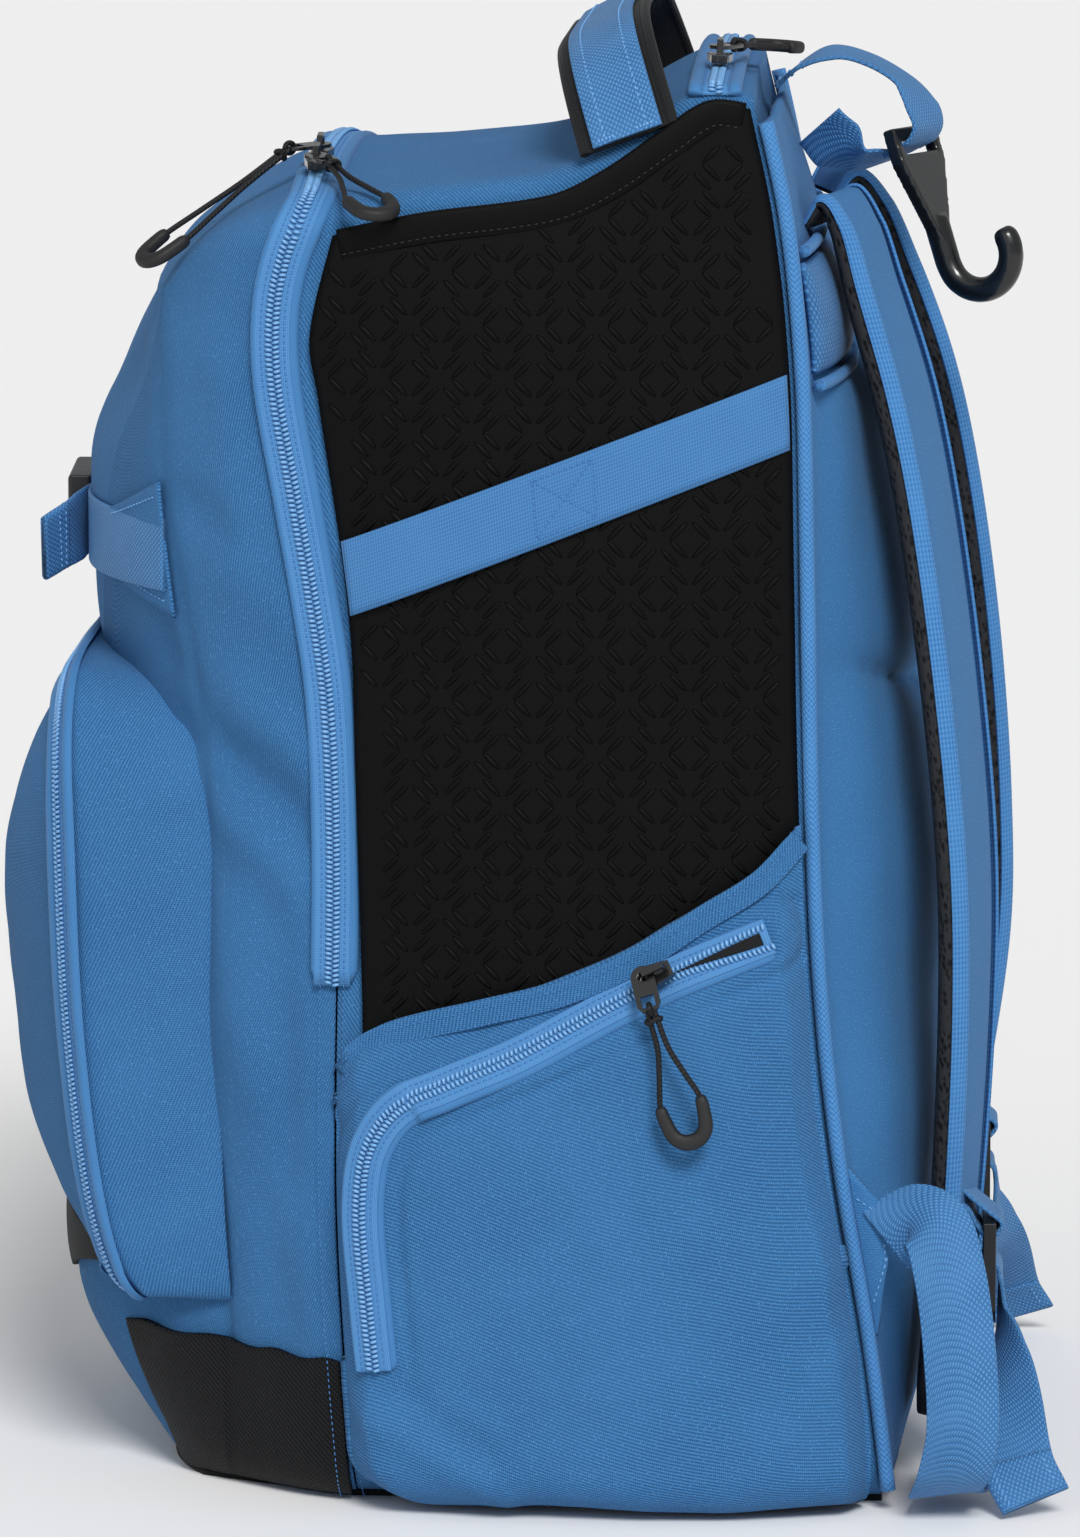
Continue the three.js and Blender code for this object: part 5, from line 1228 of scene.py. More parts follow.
# %% Side pockets
def pocket_place(u, v):
    z = mix(1, pocket_edge_at(0), v)
    y = 0
    rounding = 1 - math.sqrt(1 - (1 - v / 0.13) ** 2) if v < 0.13 else 0
    for _ in range(6):
        front = max(zip_at(z) + 1, -1.02 * HALF_DEPTH)
        y = mix(front + 34 * rounding, rear_at(z) - 0.8 - 8 * rounding, u)
        z = mix(1, pocket_edge_at(y), v)
    return y, z


def side_pocket_x(u, v, y, z):
    edge = min(u, 1 - u, 4 * v) * 2
    wall = clamp(edge / 0.09) ** 0.5 * 0.55
    crown = math.sin(math.pi * clamp(u)) ** 0.8 * 0.45
    puff = POCKET_BULGE * (wall + crown) * clamp((1 - v) / 0.16) ** 0.6
    floor = sleeve_out(y, z) + SLEEVE_WALL + 2.2 if u > 0.02 else 1.9
    return side_point(y, z).x + max(puff, floor) + GAP + 2


def pocket_coordinates(y, z):
    front = max(zip_at(z) + 1, -1.02 * HALF_DEPTH)
    u = clamp((y - front) / (rear_at(z) - 0.8 - front))
    return u, clamp((z - 1) / (pocket_edge_at(y) - 1))


# %% [markdown]
# The pocket's zip bends from its lower front corner to its rear. The cloth is calm along it and
# gathers at the lower corners, so the relief is measured from the zip and from a table of folds.

# %% Folds of the side pocket
side_zip_route = Route(
    [
        (0, back * HALF_DEPTH, up * HEIGHT)
        for back, up in (
            (-0.8, 0.105), (-0.83, 0.155), (-0.86, 0.226), (-0.82, 0.268), (-0.7, 0.297),
            (-0.5, 0.313), (-0.19, 0.335), (0.19, 0.368), (0.49, 0.393), (0.89, 0.42),
        )
    ]
)
ZIP_MARKS = [side_zip_route.at(t) for t in even_marks(60)]


def zip_distance(y, z):
    return min(math.hypot(p.y - y, p.z - z) for p in ZIP_MARKS)


# Puckers at the pocket's lower corners: two ends as y, z, then height and width
POCKET_FOLDS = [
    ((-64, 34), (-20, 8), 1.6, 6), ((-58, 48), (-26, 26), -1.6, 6), ((-70, 60), (-62, 20), 1.3, 6),
    ((-40, 40), (-14, 22), 1.0, 7), ((94, 60), (70, 20), 1.3, 8), ((100, 80), (82, 40), -1.0, 7),
    ((96, 130), (88, 90), 0.9, 8), ((-10, 70), (30, 30), 0.7, 14),
]


def pocket_relief_side(p):
    lift = crumple(p, 65, 2.0, 31) + crumple(p, 24, 0.7, 13) + crumple(p, 10, 0.15, 8)
    lift += folds_at(p, POCKET_FOLDS)
    away = zip_distance(p.y, p.z)
    top = pocket_edge_at(p.y) - p.z
    lift *= ease(away, 4, 16) * ease(top, 0, 12)
    return lift - 1.6 * bell(away - 13, 2.2) * ease(p.z, 40, 70)


def edge_crowd(t):
    """Bunches the columns of a grid near both edges, where the cloth turns sharply."""
    return 0.5 - 0.5 * math.cos(math.pi * t) if 0 < t < 1 else t


def side_pocket_skin(side):
    def place(i, j):
        u = edge_crowd(i)
        y, z = pocket_place(u, j)
        return Vector((side_pocket_x(u, j, y, z) * side, y, z))

    return place


for side, word in SIDES:
    cloth(
        f"side_pocket_cloth_{word}", side_pocket_skin(side), 130, 130, canvas_pocket,
        [f"side_pocket_{word}"], 2, relief=pocket_relief_side,
    )


# %% [markdown]
# A hem closes the pocket's upper edge. It is the pocket's own cloth, folded and sewn twice.
# Two rows of real thread grains are worth their faces here, because the camera is close.

# %% Hem of the side pocket


def pocket_hem(side, down):
    def surface(t, beside):
        y = mix(-0.955 * HALF_DEPTH, rear_at(240) - 0.5, t)
        u, _ = pocket_coordinates(y, pocket_edge_at(y) - 1)
        z = pocket_edge_at(y) - down + beside
        return Vector((side_pocket_x(u, 1 - down / 180, y, z), y, z))

    return on_side(surface_frame(surface), side)


for side, word in SIDES:
    hem = pocket_hem(side, 5)
    ribbon(f"pocket_hem_{word}", hem, 90, band(9, 1.0, 0.0), canvas_pocket)
    for row, down in (("upper", 1.8), ("lower", -3.8)):
        stitched = frame_line(hem, down, 1.15)
        threads(f"pocket_hem_{row}_stitches_{word}", [stitched], thread_blue, 2.4, 0.28)

# %% [markdown]
# A zip is a woven tape with two rows of coil and a lip of folded cloth on either side. A bump would
# leave the teeth flat in a close view, so the coil is one small grain repeated along the path. It
# alternates left and right as the real one meshes, and the rows part where a zip stands open.

# %% Zips
TOOTH_SIZE = (1.6, 0.66, 0.8)


def coil(name, frame_at, lift, start, end, pitch=1.7, part=1.3, spread=0.0):
    places = []
    marks = evenly(frame_at, pitch / 2, start, end)
    for i, t in enumerate(marks):
        row = 1 if i % 2 else -1
        place, across, out = frame_at(t)
        opening = spread(t) if spread else 0
        centre = place + across * row * (part + opening) + out * (lift + 0.75)
        forward = across.cross(out)
        slant = (across + forward * 0.22 * row).normalized()
        places.append(laid(centre, slant, out.cross(slant), out, TOOTH_SIZE))
    return repeated(name, small_ball(1), places, coil_plastic)


def rounded(distance, reach):
    return math.sqrt(1 - (1 - clamp(distance / reach)) ** 2)


TAPE_WIDTH = 13
SEAM_BESIDE = 4.1


def zip_fastener(name, node, frame_at, lift, steps, start, end, lips, cap, spread=None):
    marks = even_marks(steps, start, end)
    ribbon(name, frame_at, marks, band(TAPE_WIDTH, 1.0, lift - 0.6), zip_tape, [node])
    coil(f"{name}_coil", frame_at, lift + 0.3, start, end, spread=spread)
    for k, (low, high, rise, base) in enumerate(lips):
        outer = high if low > 0 else low
        inner = low if low > 0 else high

        def lip(t):
            full = rounded(min(t - start, end - t) + cap * 0.1, cap)
            a = mix(inner * 0.4, inner, full)
            b = mix(inner * 1.1, outer, full)
            return mound(min(a, b), max(a, b), rise * mix(0.5, 1, full), base)

        ribbon(f"{name}_lip_{k}", frame_at, marks, lip, lip_cloth)
    edges = [frame_line(frame_at, a, lift + 0.55) for a in (-SEAM_BESIDE, SEAM_BESIDE)]
    threads(f"{name}_stitches", edges, thread_blue, 2.2, 0.25)


# %% [markdown]
# Each zip has its own road. The main one runs up a side, over the top and down again. The rear one
# crosses the top, and the pocket's follows its outline. Each road is a surface with a measure
# along it and one beside it, so the same recipe lays tape, teeth and lips on all of them.

# %% Where the zips run


def main_zip_surface(whole, beside):
    turn = 2 - whole if whole > 1 else whole
    station = 1 + (beside - 1.5) / -(HALF_DEPTH * 2)
    p = shell_point(min(station, 1), turn)
    nudge = (station - 1) * -HALF_DEPTH * 2 if station > 1 else 0
    return Vector((-p.x if whole > 1 else p.x, p.y + nudge, p.z))


def rear_zip_surface(whole, beside):
    turn = 2 - whole if whole > 1 else whole
    p = shell_point(clamp(0.085 - beside / (HALF_DEPTH * 2)), turn)
    return Vector((-p.x if whole > 1 else p.x, p.y, p.z))


def pocket_edge_route(first):
    """The pocket's outline from its given corner over the top to the same corner opposite."""
    half = HALF_OUTLINE[first:]
    return Route(half + [(-x, y, z) for x, y, z in reversed(half[:-1])])


zip_outline = pocket_edge_route(4)
strip_outline = pocket_edge_route(2)


def pocket_zip_surface(t, beside, outline=zip_outline):
    share = 0.955 - beside / 125
    p = outline.at(t)
    z = POCKET_MIDDLE + (p.z - POCKET_MIDDLE) * share
    return Vector((p.x * share, pocket_front(share, z), z))


def side_zip_frame(side):
    def surface(t, beside):
        p = side_zip_route.at(t)
        ahead = side_zip_route.forward(t)
        y = p.y + ahead.z * beside
        z = p.z - ahead.y * beside
        u, v = pocket_coordinates(y, z)
        return Vector((side_pocket_x(u, v, y, z), y, z))

    return on_side(surface_frame(surface), side)


main_zip_frame = surface_frame(main_zip_surface, -1)
rear_zip_frame = surface_frame(rear_zip_surface, -1)
pocket_zip_frame = held(surface_frame(pocket_zip_surface, 1))
pocket_strip_frame = held(
    surface_frame(lambda t, beside: pocket_zip_surface(t, beside, strip_outline), 1)
)
MAIN_LIFT = GAP + 1.3
REAR_LIFT = GAP + 0.2
POCKET_LIFT = GAP + 0.2
SIDE_LIFT = GAP + 2.6
zip_fastener(
    "main_zip_tape", "main_zip", main_zip_frame, MAIN_LIFT, 180, 0.45, 1.55,
    [(4.2, 7.8, 2.2, -0.3), (-9.2, -4.2, 2.4, -0.3)], 0.008,
)
zip_fastener(
    "rear_zip_tape", "rear_zip", rear_zip_frame, REAR_LIFT, 70, 0.745, 1.255,
    [(4.2, 9.5, 2.6, -0.6), (-9.0, -4.2, 2.6, -0.6)], 0.006,
)
zip_fastener(
    "pocket_zip_tape", "pocket_zip", pocket_strip_frame, POCKET_LIFT, 170, 0, 1,
    [(4.2, 10.5, 2.4, -0.6), (-9.6, -4.2, 2.4, -0.8)], 0.01,
)
OPEN_WIDE = 2.6
OPEN_FROM = 0.87


def open_end(t):
    """How far each row of teeth stands from the middle, behind the side pocket's slider."""
    return OPEN_WIDE * ease(t, OPEN_FROM, 1)


for side, word in SIDES:
    zip_fastener(
        f"side_zip_tape_{word}", f"side_zip_{word}", side_zip_frame(side), SIDE_LIFT - 1.4, 110, 0, 1,
        [(4.2, 7.4, 1.9, -0.8), (-8.6, -4.2, 2.1, -0.8)], 0.022, open_end,
    )
    # Between the parted rows a thin black band is painted shade: the dark inside of the open pocket.
    shade_marks = even_marks(16, 0.875, 0.985)
    ribbon(
        f"side_zip_gap_shade_{word}", side_zip_frame(side), shade_marks,
        lambda t: band(1.7 * open_end(t) + 0.2, 0.5, SIDE_LIFT - 0.9), black_cloth,
    )


# %% [markdown]
# An elastic band crosses each sleeve to hold the bat. Its middle is sewn down with a crossed box,
# whose stitches are real grains of thread, because they throw small shadows. Piping closes the
# rear seam, and a triangular wing of canvas carries each strap's webbing.

# %% Elastic bands, piping and wings
def elastic_place(side):
    def place(u, beside):
        z = HEIGHT * mix(0.666, 0.784, u**1.02) + beside
        y = mix(sleeve_front_at(z) + 1, rear_at(z) - SLEEVE_INSET - 0.5, u)
        return on_sleeve(side, y, z, GAP + 1.6)

    return place


def box_stitches(side):
    place = elastic_place(side)
    corners = [(0.44, -10), (0.575, -10), (0.575, 10), (0.44, 10)]
    pairs = [(0, 1), (1, 2), (2, 3), (3, 0), (0, 2), (1, 3)]
    out = Vector((side, 0, 0))
    return [seam(place, corners[a], corners[b], out, 0.1) for a, b in pairs]


def piping_frame(side):
    def at(t):
        z = mix(8, HEIGHT * 0.985, t)
        place = Vector(((width_at(0, z) + 1.4) * side, rear_at(z) + 2.9, z))
        above = Vector((0, rear_at(z + 1) - rear_at(z - 1), 2)).normalized()
        across = Vector((1, 0, 0))
        return place, across, across.cross(above)

    return at


def circle(radius, parts=10):
    turns = [2 * math.pi * i / parts for i in range(parts)]
    return [(radius * math.cos(a), radius * math.sin(a)) for a in turns]


def wing_skin(side):
    rows = [0.127 * HEIGHT, 0.248 * HEIGHT]

    def place(u, v):
        z = mix(rows[0], rows[1], v)
        seam = Vector((0, rear_at(z) + 5.5, z))
        tip = Vector((0, 113, 0.2 * HEIGHT + mix(-9, 9, v)))
        p = seam.lerp(tip, u)
        x = width_at(0, rows[0]) + 0.8 + 1.6 * math.sin(math.pi * u)
        return Vector((x * side, p.y, p.z))

    return place


for side, word in SIDES:
    place = elastic_place(side)
    cloth(
        f"elastic_cloth_{word}", lambda u, v: place(u, 26 * (v - 0.5)), 70, 8, elastic_knit,
        [f"elastic_{word}"], 1.3,
    )
    threads(f"elastic_box_{word}", box_stitches(side), thread_blue, 2.2, 0.34)
    ribbon(
        f"rear_piping_{word}", piping_frame(side), 90, circle(2.7, 12), rope_cloth, [f"piping_{word}"]
    )
    wing = wing_skin(side)
    cloth(f"wing_cloth_{word}", wing, 24, 16, canvas_smooth, [f"strap_wing_{word}"], 2)
    out = Vector((side, 0, 0))
    ends = [((0.1, 0.16), (0.9, 0.16)), ((0.1, 0.84), (0.9, 0.84)), ((0.82, 0.16), (0.82, 0.84))]
    rows = [seam(wing, start, end, out, 0.15) for start, end in ends]
    threads(f"wing_stitches_{word}", rows, thread_pale, 2.6, 0.32)

# %% [markdown]
# The back is one quilted panel: foam behind canvas, with a sewn groove between the lumbar and the
# upper part, and a knitted roll pad held between two piping cords near the top. Sculpting could
# shape it by hand, but a depth worked out from a few rounded valleys is easy to change.

# %% Padded back
PAD_FOOT = 0.022
PAD_TOP = 0.985
ROLL_FOOT = 0.8025
ROLL_TOP = 0.8925
GROOVE_UP = 0.565


def pad_depth(x, z):
    """How far behind the origin the panel reaches: its wall, then foam that dips at each seam."""
    up = z / HEIGHT
    wall = back_at(x, z, 0) + 1.5
    full = back_at(x, z, 1) - wall
    side = rounded(width_at(0, z) - 5 - abs(x), 26)
    arc = GROOVE_UP + 0.05 * (abs(x) / HALF_WIDTH) ** 2
    groove = mix(0.45, 1, rounded(abs(up - arc), 0.045))
    below = rounded(ROLL_FOOT - up, 0.03)
    above = rounded(up - ROLL_TOP, 0.025)
    valley = below if up < ROLL_FOOT else above if up > ROLL_TOP else 0
    end = min(rounded(up - PAD_FOOT, 0.03), rounded(PAD_TOP - up, 0.02))
    return wall + 2 + max(full - 2, 0) * side * groove * valley * end


def back_skin(u, v):
    z = mix(PAD_FOOT, PAD_TOP, v) * HEIGHT
    x = math.sin((u - 0.5) * math.pi) * (width_at(0, z) - 5)
    return Vector((x, pad_depth(x, z), z))


def back_relief(p):
    return (crumple(p, 60, 1.8, 41) + crumple(p, 22, 0.5, 6)) * ease(width_at(0, p.z) - abs(p.x), 6, 30)


pad = cloth(
    "back_pad", back_skin, 110, 150, canvas_smooth, ["back_panel"], 2.5, inside=(0, 0, 240),
    relief=back_relief,
)


def roll_skin(u, v):
    z = mix(0.808, 0.886, v) * HEIGHT
    x = mix(-1, 1, u) * (width_at(0, z) - 9)
    puff = rounded(min(v, 1 - v), 0.5) * rounded(min(u, 1 - u), 0.08)
    return Vector((x, back_at(x, z, 0) + 5.5 + 4.5 * puff, z))


roll = cloth("roll_pad", roll_skin, 110, 24, knit_blue, ["back_roll_pad"], 2, inside=(0, 0, 420))


def roll_cord(up):
    def at(t):
        z = up * HEIGHT
        x = mix(-1, 1, t) * (width_at(0, z) - 7)
        place = Vector((x, back_at(x, z, 0) + 6.5, z))
        x2 = x + 1
        forward = (Vector((x2, back_at(x2, z, 0) + 6.5, z)) - place).normalized()
        across = Vector((0, 0, 1))
        return place, across, across.cross(forward)

    return at


for word, up in (("low", 0.8), ("high", 0.894)):
    ribbon(f"roll_piping_{word}", roll_cord(up), 80, circle(2.2), rope_cloth)

# %% [markdown]
# A shoulder strap is a long foam pad: air mesh on the wearer's side, smooth canvas outside, and a
# ribbed binding folded over each edge. It hangs from the top seam and thins to a tongue. Its width
# and thickness change on the way, so its section is worked out anew at each mark of its path.

# %% Shoulder straps
# Height, distance behind the origin, distance from the middle, width, thickness, left standoff
STRAP = [
    (0.905, 87.6, 1, 0.86, 0.3, 0), (0.919, 93, 1.02, 0.88, 0.5, 0.1),
    (0.9, 98.5, 1.05, 0.9, 0.75, 0.4), (0.855, 105, 1.14, 0.94, 0.95, 0.7),
    (0.784, 115.5, 1.26, 1, 1, 0.9), (0.708, 123.5, 1.36, 1, 1, 1),
    (0.582, 132.5, 1.48, 1, 1, 1), (0.45, 138.5, 1.52, 0.97, 1, 0.9),
    (0.348, 139, 1.5, 0.9, 1, 0.9), (0.19, 135.5, 1.46, 0.78, 0.95, 0.05),
    (0.09, 131, 1.5, 0.66, 0.85, 0), (0.0485, 127.5, 1.52, 0.5, 0.6, 0),
]
STRAP_ROOT = 62
strap_share = even_marks(len(STRAP) - 1)
strap_width_at = through([(t, row[3]) for t, row in zip(strap_share, STRAP)], 1, 66)
strap_depth_at = through([(t, row[4]) for t, row in zip(strap_share, STRAP)], 1, 13)


def strap_frame(side):
    extra = 7.5 if side < 0 else 0
    line = Route(
        [(STRAP_ROOT * r[2] * side, r[1] + extra * r[5], r[0] * HEIGHT) for r in STRAP]
    )

    def at(t):
        forward = line.forward(t)
        across = square_to(Vector((1, -0.2 * side, 0)), forward)
        return line.at(t), across, across.cross(forward)

    return at


def strap_half(t):
    return strap_width_at(t) * mix(0.35, 1, clamp((1 - t) / 0.05) ** 0.5) / 2


def strap_outline(t, parts=32):
    half, deep = strap_half(t), strap_depth_at(t) / 2
    outline = []
    for i in range(parts):
        turn = 2 * math.pi * i / parts
        c, s = math.cos(turn), math.sin(turn)
        a = math.copysign(abs(c) ** 0.55, c) * half
        outline.append((a, math.copysign(abs(s) ** 0.8, s) * deep * 0.93))
    return outline


def edge_outline(way):
    """The binding: a flattened C that hugs one edge of the strap."""

    def at(t):
        half, deep = strap_half(t), strap_depth_at(t) / 2
        outline = []
        for i in range(13):
            turn = mix(0.25, 1.5, i / 12)
            outline.append(((half - 4 + 4.9 * math.cos(turn)) * way, math.sin(turn) * (deep + 0.5)))
        for i in range(13):
            turn = mix(1.5, 0.25, i / 12)
            outline.append(((half - 4 + 3.4 * math.cos(turn)) * way, math.sin(turn) * (deep - 0.9)))
        return outline

    return at


for side, word in SIDES:
    strap_at = strap_frame(side)
    outward = 1 if strap_at(0.5)[2].y > 0 else -1
    inner_face = lambda u, v, outward=outward: int(math.sin(2 * math.pi * u) * outward < 0.3)
    piece = ribbon(
        f"strap_pad_{word}", strap_at, 170, strap_outline, [canvas_smooth, air_mesh],
        [f"shoulder_strap_{word}"], pick=inner_face,
    )
    for label, way in (("inner", -side), ("outer", side)):
        flip = edge_outline(way)
        outline = flip if outward > 0 else lambda t, flip=flip: [(a, -o) for a, o in flip(t)]
        ribbon(f"strap_binding_{label}_{word}", strap_at, 170, outline, binding)

# %% [markdown]
# A ladder lock at the end of each strap grips the webbing. The webbing comes from its wing, hangs in
# a loop almost to the floor, turns through the lock and ends in a folded, stitched tail. It twists
# freely, so each point of its path also says which way its width lies.

# %% Ladder locks and strap webbing


def from_solid(name, node, finish, bevel):
    """A hard part whose solid is right: a merged copy of it with softened edges."""
    bm = bmesh.new()
    bm.from_mesh(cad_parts[node].data)
    bmesh.ops.remove_doubles(bm, verts=bm.verts, dist=1e-6)
    bmesh.ops.dissolve_limit(bm, angle_limit=0.02, verts=bm.verts, edges=bm.edges)
    for edge in bm.edges:
        edge.smooth = edge.calc_face_angle(0) < 0.6
    return finished(name, bm, finish, [node], bevel=bevel)


LOCK_UP = 78
LOCK_AWAY = 146.5
LOCK_APART = 92
# The strap's webbing on the right: x, y and z, then the direction of its width
WEBBING = [
    (148.6, 112, 98, 0, -0.25, 1), (154, 121, 107, -0.3, 0.25, 0.9),
    (163, 129, 106, -0.35, 0.8, 0.5), (171, 134, 92, -0.2, 1, 0.1),
    (176, 138, 62, -0.12, 1, 0), (176, 139, 36, -0.1, 1, 0.05), (170, 136, 19, 0, 1, 0.1),
    (155, 133, 9.5, 0.2, 1, 0.2), (133, 137, 9, 0.5, 0.8, -0.2), (110, 142, 17, 0.9, 0.3, -0.4),
    (95, 144.3, 36, 1, 0, -0.1), (92, 144.6, 62, 1, 0, 0), (92, 144.8, 74, 1, 0, 0),
    (92, 146.1, 79.4, 1, 0, 0), (92, 148.7, 81.4, 1, 0, 0), (92, 151.5, 79.4, 1, 0, 0),
    (92, 152.9, 74, 1, 0, 0), (94, 153.5, 60, 1, 0.1, 0), (106, 154.5, 46, 0.8, 0.5, 0.3),
    (128, 156, 32, 0.3, 0.9, 0.25), (146, 159, 17, 0.1, 1, 0.1), (154, 165, 6.6, 0, 1, 0),
]
# The tab of webbing that holds the lock: distance behind its middle and height above it
LOCK_TAB = [
    (-13, 34), (-3, 25), (2.2, 20.8), (6.6, 16.5), (2.2, 11.6), (-2.2, 16), (-5.5, 22), (-13, 27)
]
for side, word in SIDES:
    from_solid(f"ladder_lock_body_{word}", f"ladder_lock_{word}", black_plastic, 0.7)
    tab_rows = [(LOCK_APART * side, LOCK_AWAY + o, LOCK_UP + up, 1, 0, 0) for o, up in LOCK_TAB]
    ribbon(f"lock_tab_{word}", route_frame(tab_rows), 60, band(WEB_WIDTH - 1, 1.4), webbing_blue)
    rows = [(x * side, y, z, wx * side, wy, wz) for x, y, z, wx, wy, wz in WEBBING]
    along = route_frame(rows)
    ribbon(
        f"webbing_{word}", along, 320, band(WEB_WIDTH, WEB_THICKNESS), webbing_blue,
        [f"strap_webbing_{word}"],
    )
    hem_marks = even_marks(12, 0.945, 0.998)
    ribbon(
        f"webbing_hem_{word}", along, hem_marks, band(WEB_WIDTH - 0.4, 2.6, -1.3), webbing_blue
    )
    folded = stretch(along, 0.952, 0.99)
    rows = [frame_line(folded, a, o) for o in (1.35, -1.35) for a in (-9, 9)]
    threads(f"webbing_hem_stitches_{word}", rows, thread_pale, 2.4, 0.3)

# %% [markdown]
# The haul handle is blue webbing sewn on a wider black backing, arched over the top of the bag. A
# formula with a high power gives an arch that is flat on top and steep at its feet, as a stiff
# handle stands. The black edges are rolled over a cord.

# %% Handle
HANDLE_STATION = 0.33
HANDLE_BEHIND = 22
HANDLE_RISE = 34
HANDLE_LEAN = 11 / HANDLE_RISE
HANDLE_SQUARE = 7


def handle_frame(extra):
    """The handle's arch. It rises from both sleeves and leans forward a little."""
    span = width_at(HANDLE_STATION, HEIGHT * 0.95) + 2.5
    base = side_seam_at(HANDLE_STATION) + 8

    def at(t):
        s = math.sin(mix(-math.pi / 2, math.pi / 2, t))
        rise = HANDLE_RISE * (1 - abs(s) ** HANDLE_SQUARE)
        steep = HANDLE_SQUARE * abs(s) ** (HANDLE_SQUARE - 1)
        slope = -HANDLE_RISE * steep * math.copysign(1, s)
        forward = Vector((span, -slope * HANDLE_LEAN, slope)).normalized()
        across = square_to(Vector((0, 0.88, 0.47)), forward)
        out = forward.cross(across)
        place = Vector((span * s, HANDLE_BEHIND - rise * HANDLE_LEAN, base + rise))
        return place + out * extra, across, out

    return at


handle_marks = [0.5 - 0.5 * math.cos(math.pi * i / 120) for i in range(121)]
ribbon(
    "handle_backing", handle_frame(0), handle_marks, band(36, 2.0, 0), black_binding, ["handle_pad"]
)
for word, a in (("front", -16.2), ("rear", 16.2)):
    edge = [(x + a, o + 1.1) for x, o in circle(1.9, 10)]
    ribbon(f"handle_edge_{word}", handle_frame(0), handle_marks, edge, black_binding)
blue_at = handle_frame(2.7)
ribbon(
    "handle_web", blue_at, handle_marks, band(WEB_WIDTH, WEB_THICKNESS, 0), webbing_blue,
    ["handle_webbing"],
)
rows = [frame_line(stretch(blue_at, 0.01, 0.99), a, 1.65) for a in (-7.6, 7.6)]
threads("handle_stitches", rows, thread_pale, 3.0, 0.36)
TACK_HALF = 3.5
tacks = [
    lambda s, t=t, a=a: frame_line(blue_at, mix(a - TACK_HALF, a + TACK_HALF, s), 1.8)(t)
    for t in (0.03, 0.034, 0.966, 0.97)
    for a in (-7, 7)
]
threads("handle_tacks", tacks, thread_pale, 1.3, 0.4)

# %% [markdown]
# The fence hook is one glossy moulding: a slotted plate that flows into a bent rod. A boolean union
# would leave a hard line where they meet. Here plate and rod overlap, then a voxel remesh grows
# them into one skin and smoothing rounds every edge.

# %% Fence hook and its loop
HOOK_TOP = Vector((6, 117.5, 476.5))
hook_matrix = (
    Matrix.Translation(HOOK_TOP) @ Matrix.Rotation(-0.42, 4, "Z") @ Matrix.Rotation(0.32, 4, "X")
)
HOOK_ROD = 4.7
PLATE_WIDE = 37
PLATE_THICK = 5
SHANK = 45
BEND = 12.5
rod_points = [(0, 0, -34), (0, 0, -SHANK - 4)]
for i in range(9):
    turn = mix(math.pi, math.pi * 2.15, i / 8)
    rod_points.append((0, BEND * (1 + math.cos(turn)), -SHANK - 6 + BEND * math.sin(turn) * 1.05))
rod_line = Route([hook_matrix @ Vector(p) for p in rod_points])


def rod_frame(t):
    forward = rod_line.forward(t)
    across = hook_matrix.to_3x3() @ Vector((1, 0, 0))
    return rod_line.at(t), across, across.cross(forward)


def rod_outline(t):
    return circle(HOOK_ROD * mix(0.55, 1, clamp((1 - t) / 0.05) ** 0.5) * mix(1.0, 0.96, t), 24)


bm = swept(rod_frame, even_marks(110), rod_outline)


def plate_block(low_x, high_x, low_z, high_z, foot=1.0):
    made = bmesh.ops.create_cube(bm, size=1)["verts"]
    for vert in made:
        x = mix(low_x, high_x, vert.co.x + 0.5)
        z = mix(low_z, high_z, vert.co.z + 0.5)
        if vert.co.z < 0:
            x *= foot
        vert.co = (hook_matrix @ Vector((x, vert.co.y * PLATE_THICK, z))) * MM


slot_half = WEB_WIDTH / 2 + 1.5
plate_block(-PLATE_WIDE / 2, PLATE_WIDE / 2, -5, 0)
plate_block(-PLATE_WIDE / 2, -slot_half, -11, -1)
plate_block(slot_half, PLATE_WIDE / 2, -11, -1)
plate_block(-PLATE_WIDE / 2, PLATE_WIDE / 2, -13, -10)
plate_block(-PLATE_WIDE / 2, PLATE_WIDE / 2, -42, -13, 0.24)
hook = finished("hook_body", bm, hook_plastic, ["fence_hook"])
skin = hook.modifiers.new("skin", "REMESH")
skin.mode = "VOXEL"
skin.voxel_size = 0.7 * MM
skin.use_smooth_shade = True
soft = hook.modifiers.new("soft", "SMOOTH")
soft.factor = 0.5
soft.iterations = 8


def in_slot(away, up):
    p = hook_matrix @ Vector((0, away, -6.5 + up))
    return (*p, *(hook_matrix.to_3x3() @ Vector((1, 0, 0))))


# The loop that holds the hook: x, y and z, then the direction of its width
LOOP = [
    (9, 85.3, 477, 0.4, -0.25, 1), (9, 92, 470, 0.5, 0.1, 0.9), (8, 99, 465, 0.9, -0.2, 0.4),
    in_slot(-9, -1.5), in_slot(-3.5, -0.6), in_slot(0, 0), in_slot(3.5, 0.8), in_slot(7.5, 5),
    in_slot(7, 14), (5, 117, 492, 0.95, -0.25, 0), (3, 104, 500, 0.98, 0, -0.1),
    (2, 91, 503, 1, 0.1, -0.1), (2, 80, 499, 1, 0, 0), (2, 69.8, 491, 1, 0, 0),
]
loop_at = route_frame(LOOP)
ribbon("hook_webbing", loop_at, 170, band(WEB_WIDTH, WEB_THICKNESS), webbing_blue, ["hook_loop"])
rows = [across_line(loop_at, t, 10, o) for t in (0.93, 0.96, 0.985) for o in (1.0, -1.0)]
threads("hook_webbing_stitches", rows, thread_pale, 2.4, 0.32)

# %% [markdown]
# A strap holds the front compartment together. It is sewn between two small stitched wings, passes
# through a side-release buckle and leaves a free end with a folded hem. The band follows the bulge
# of the face behind it, while the free end has a path of its own.

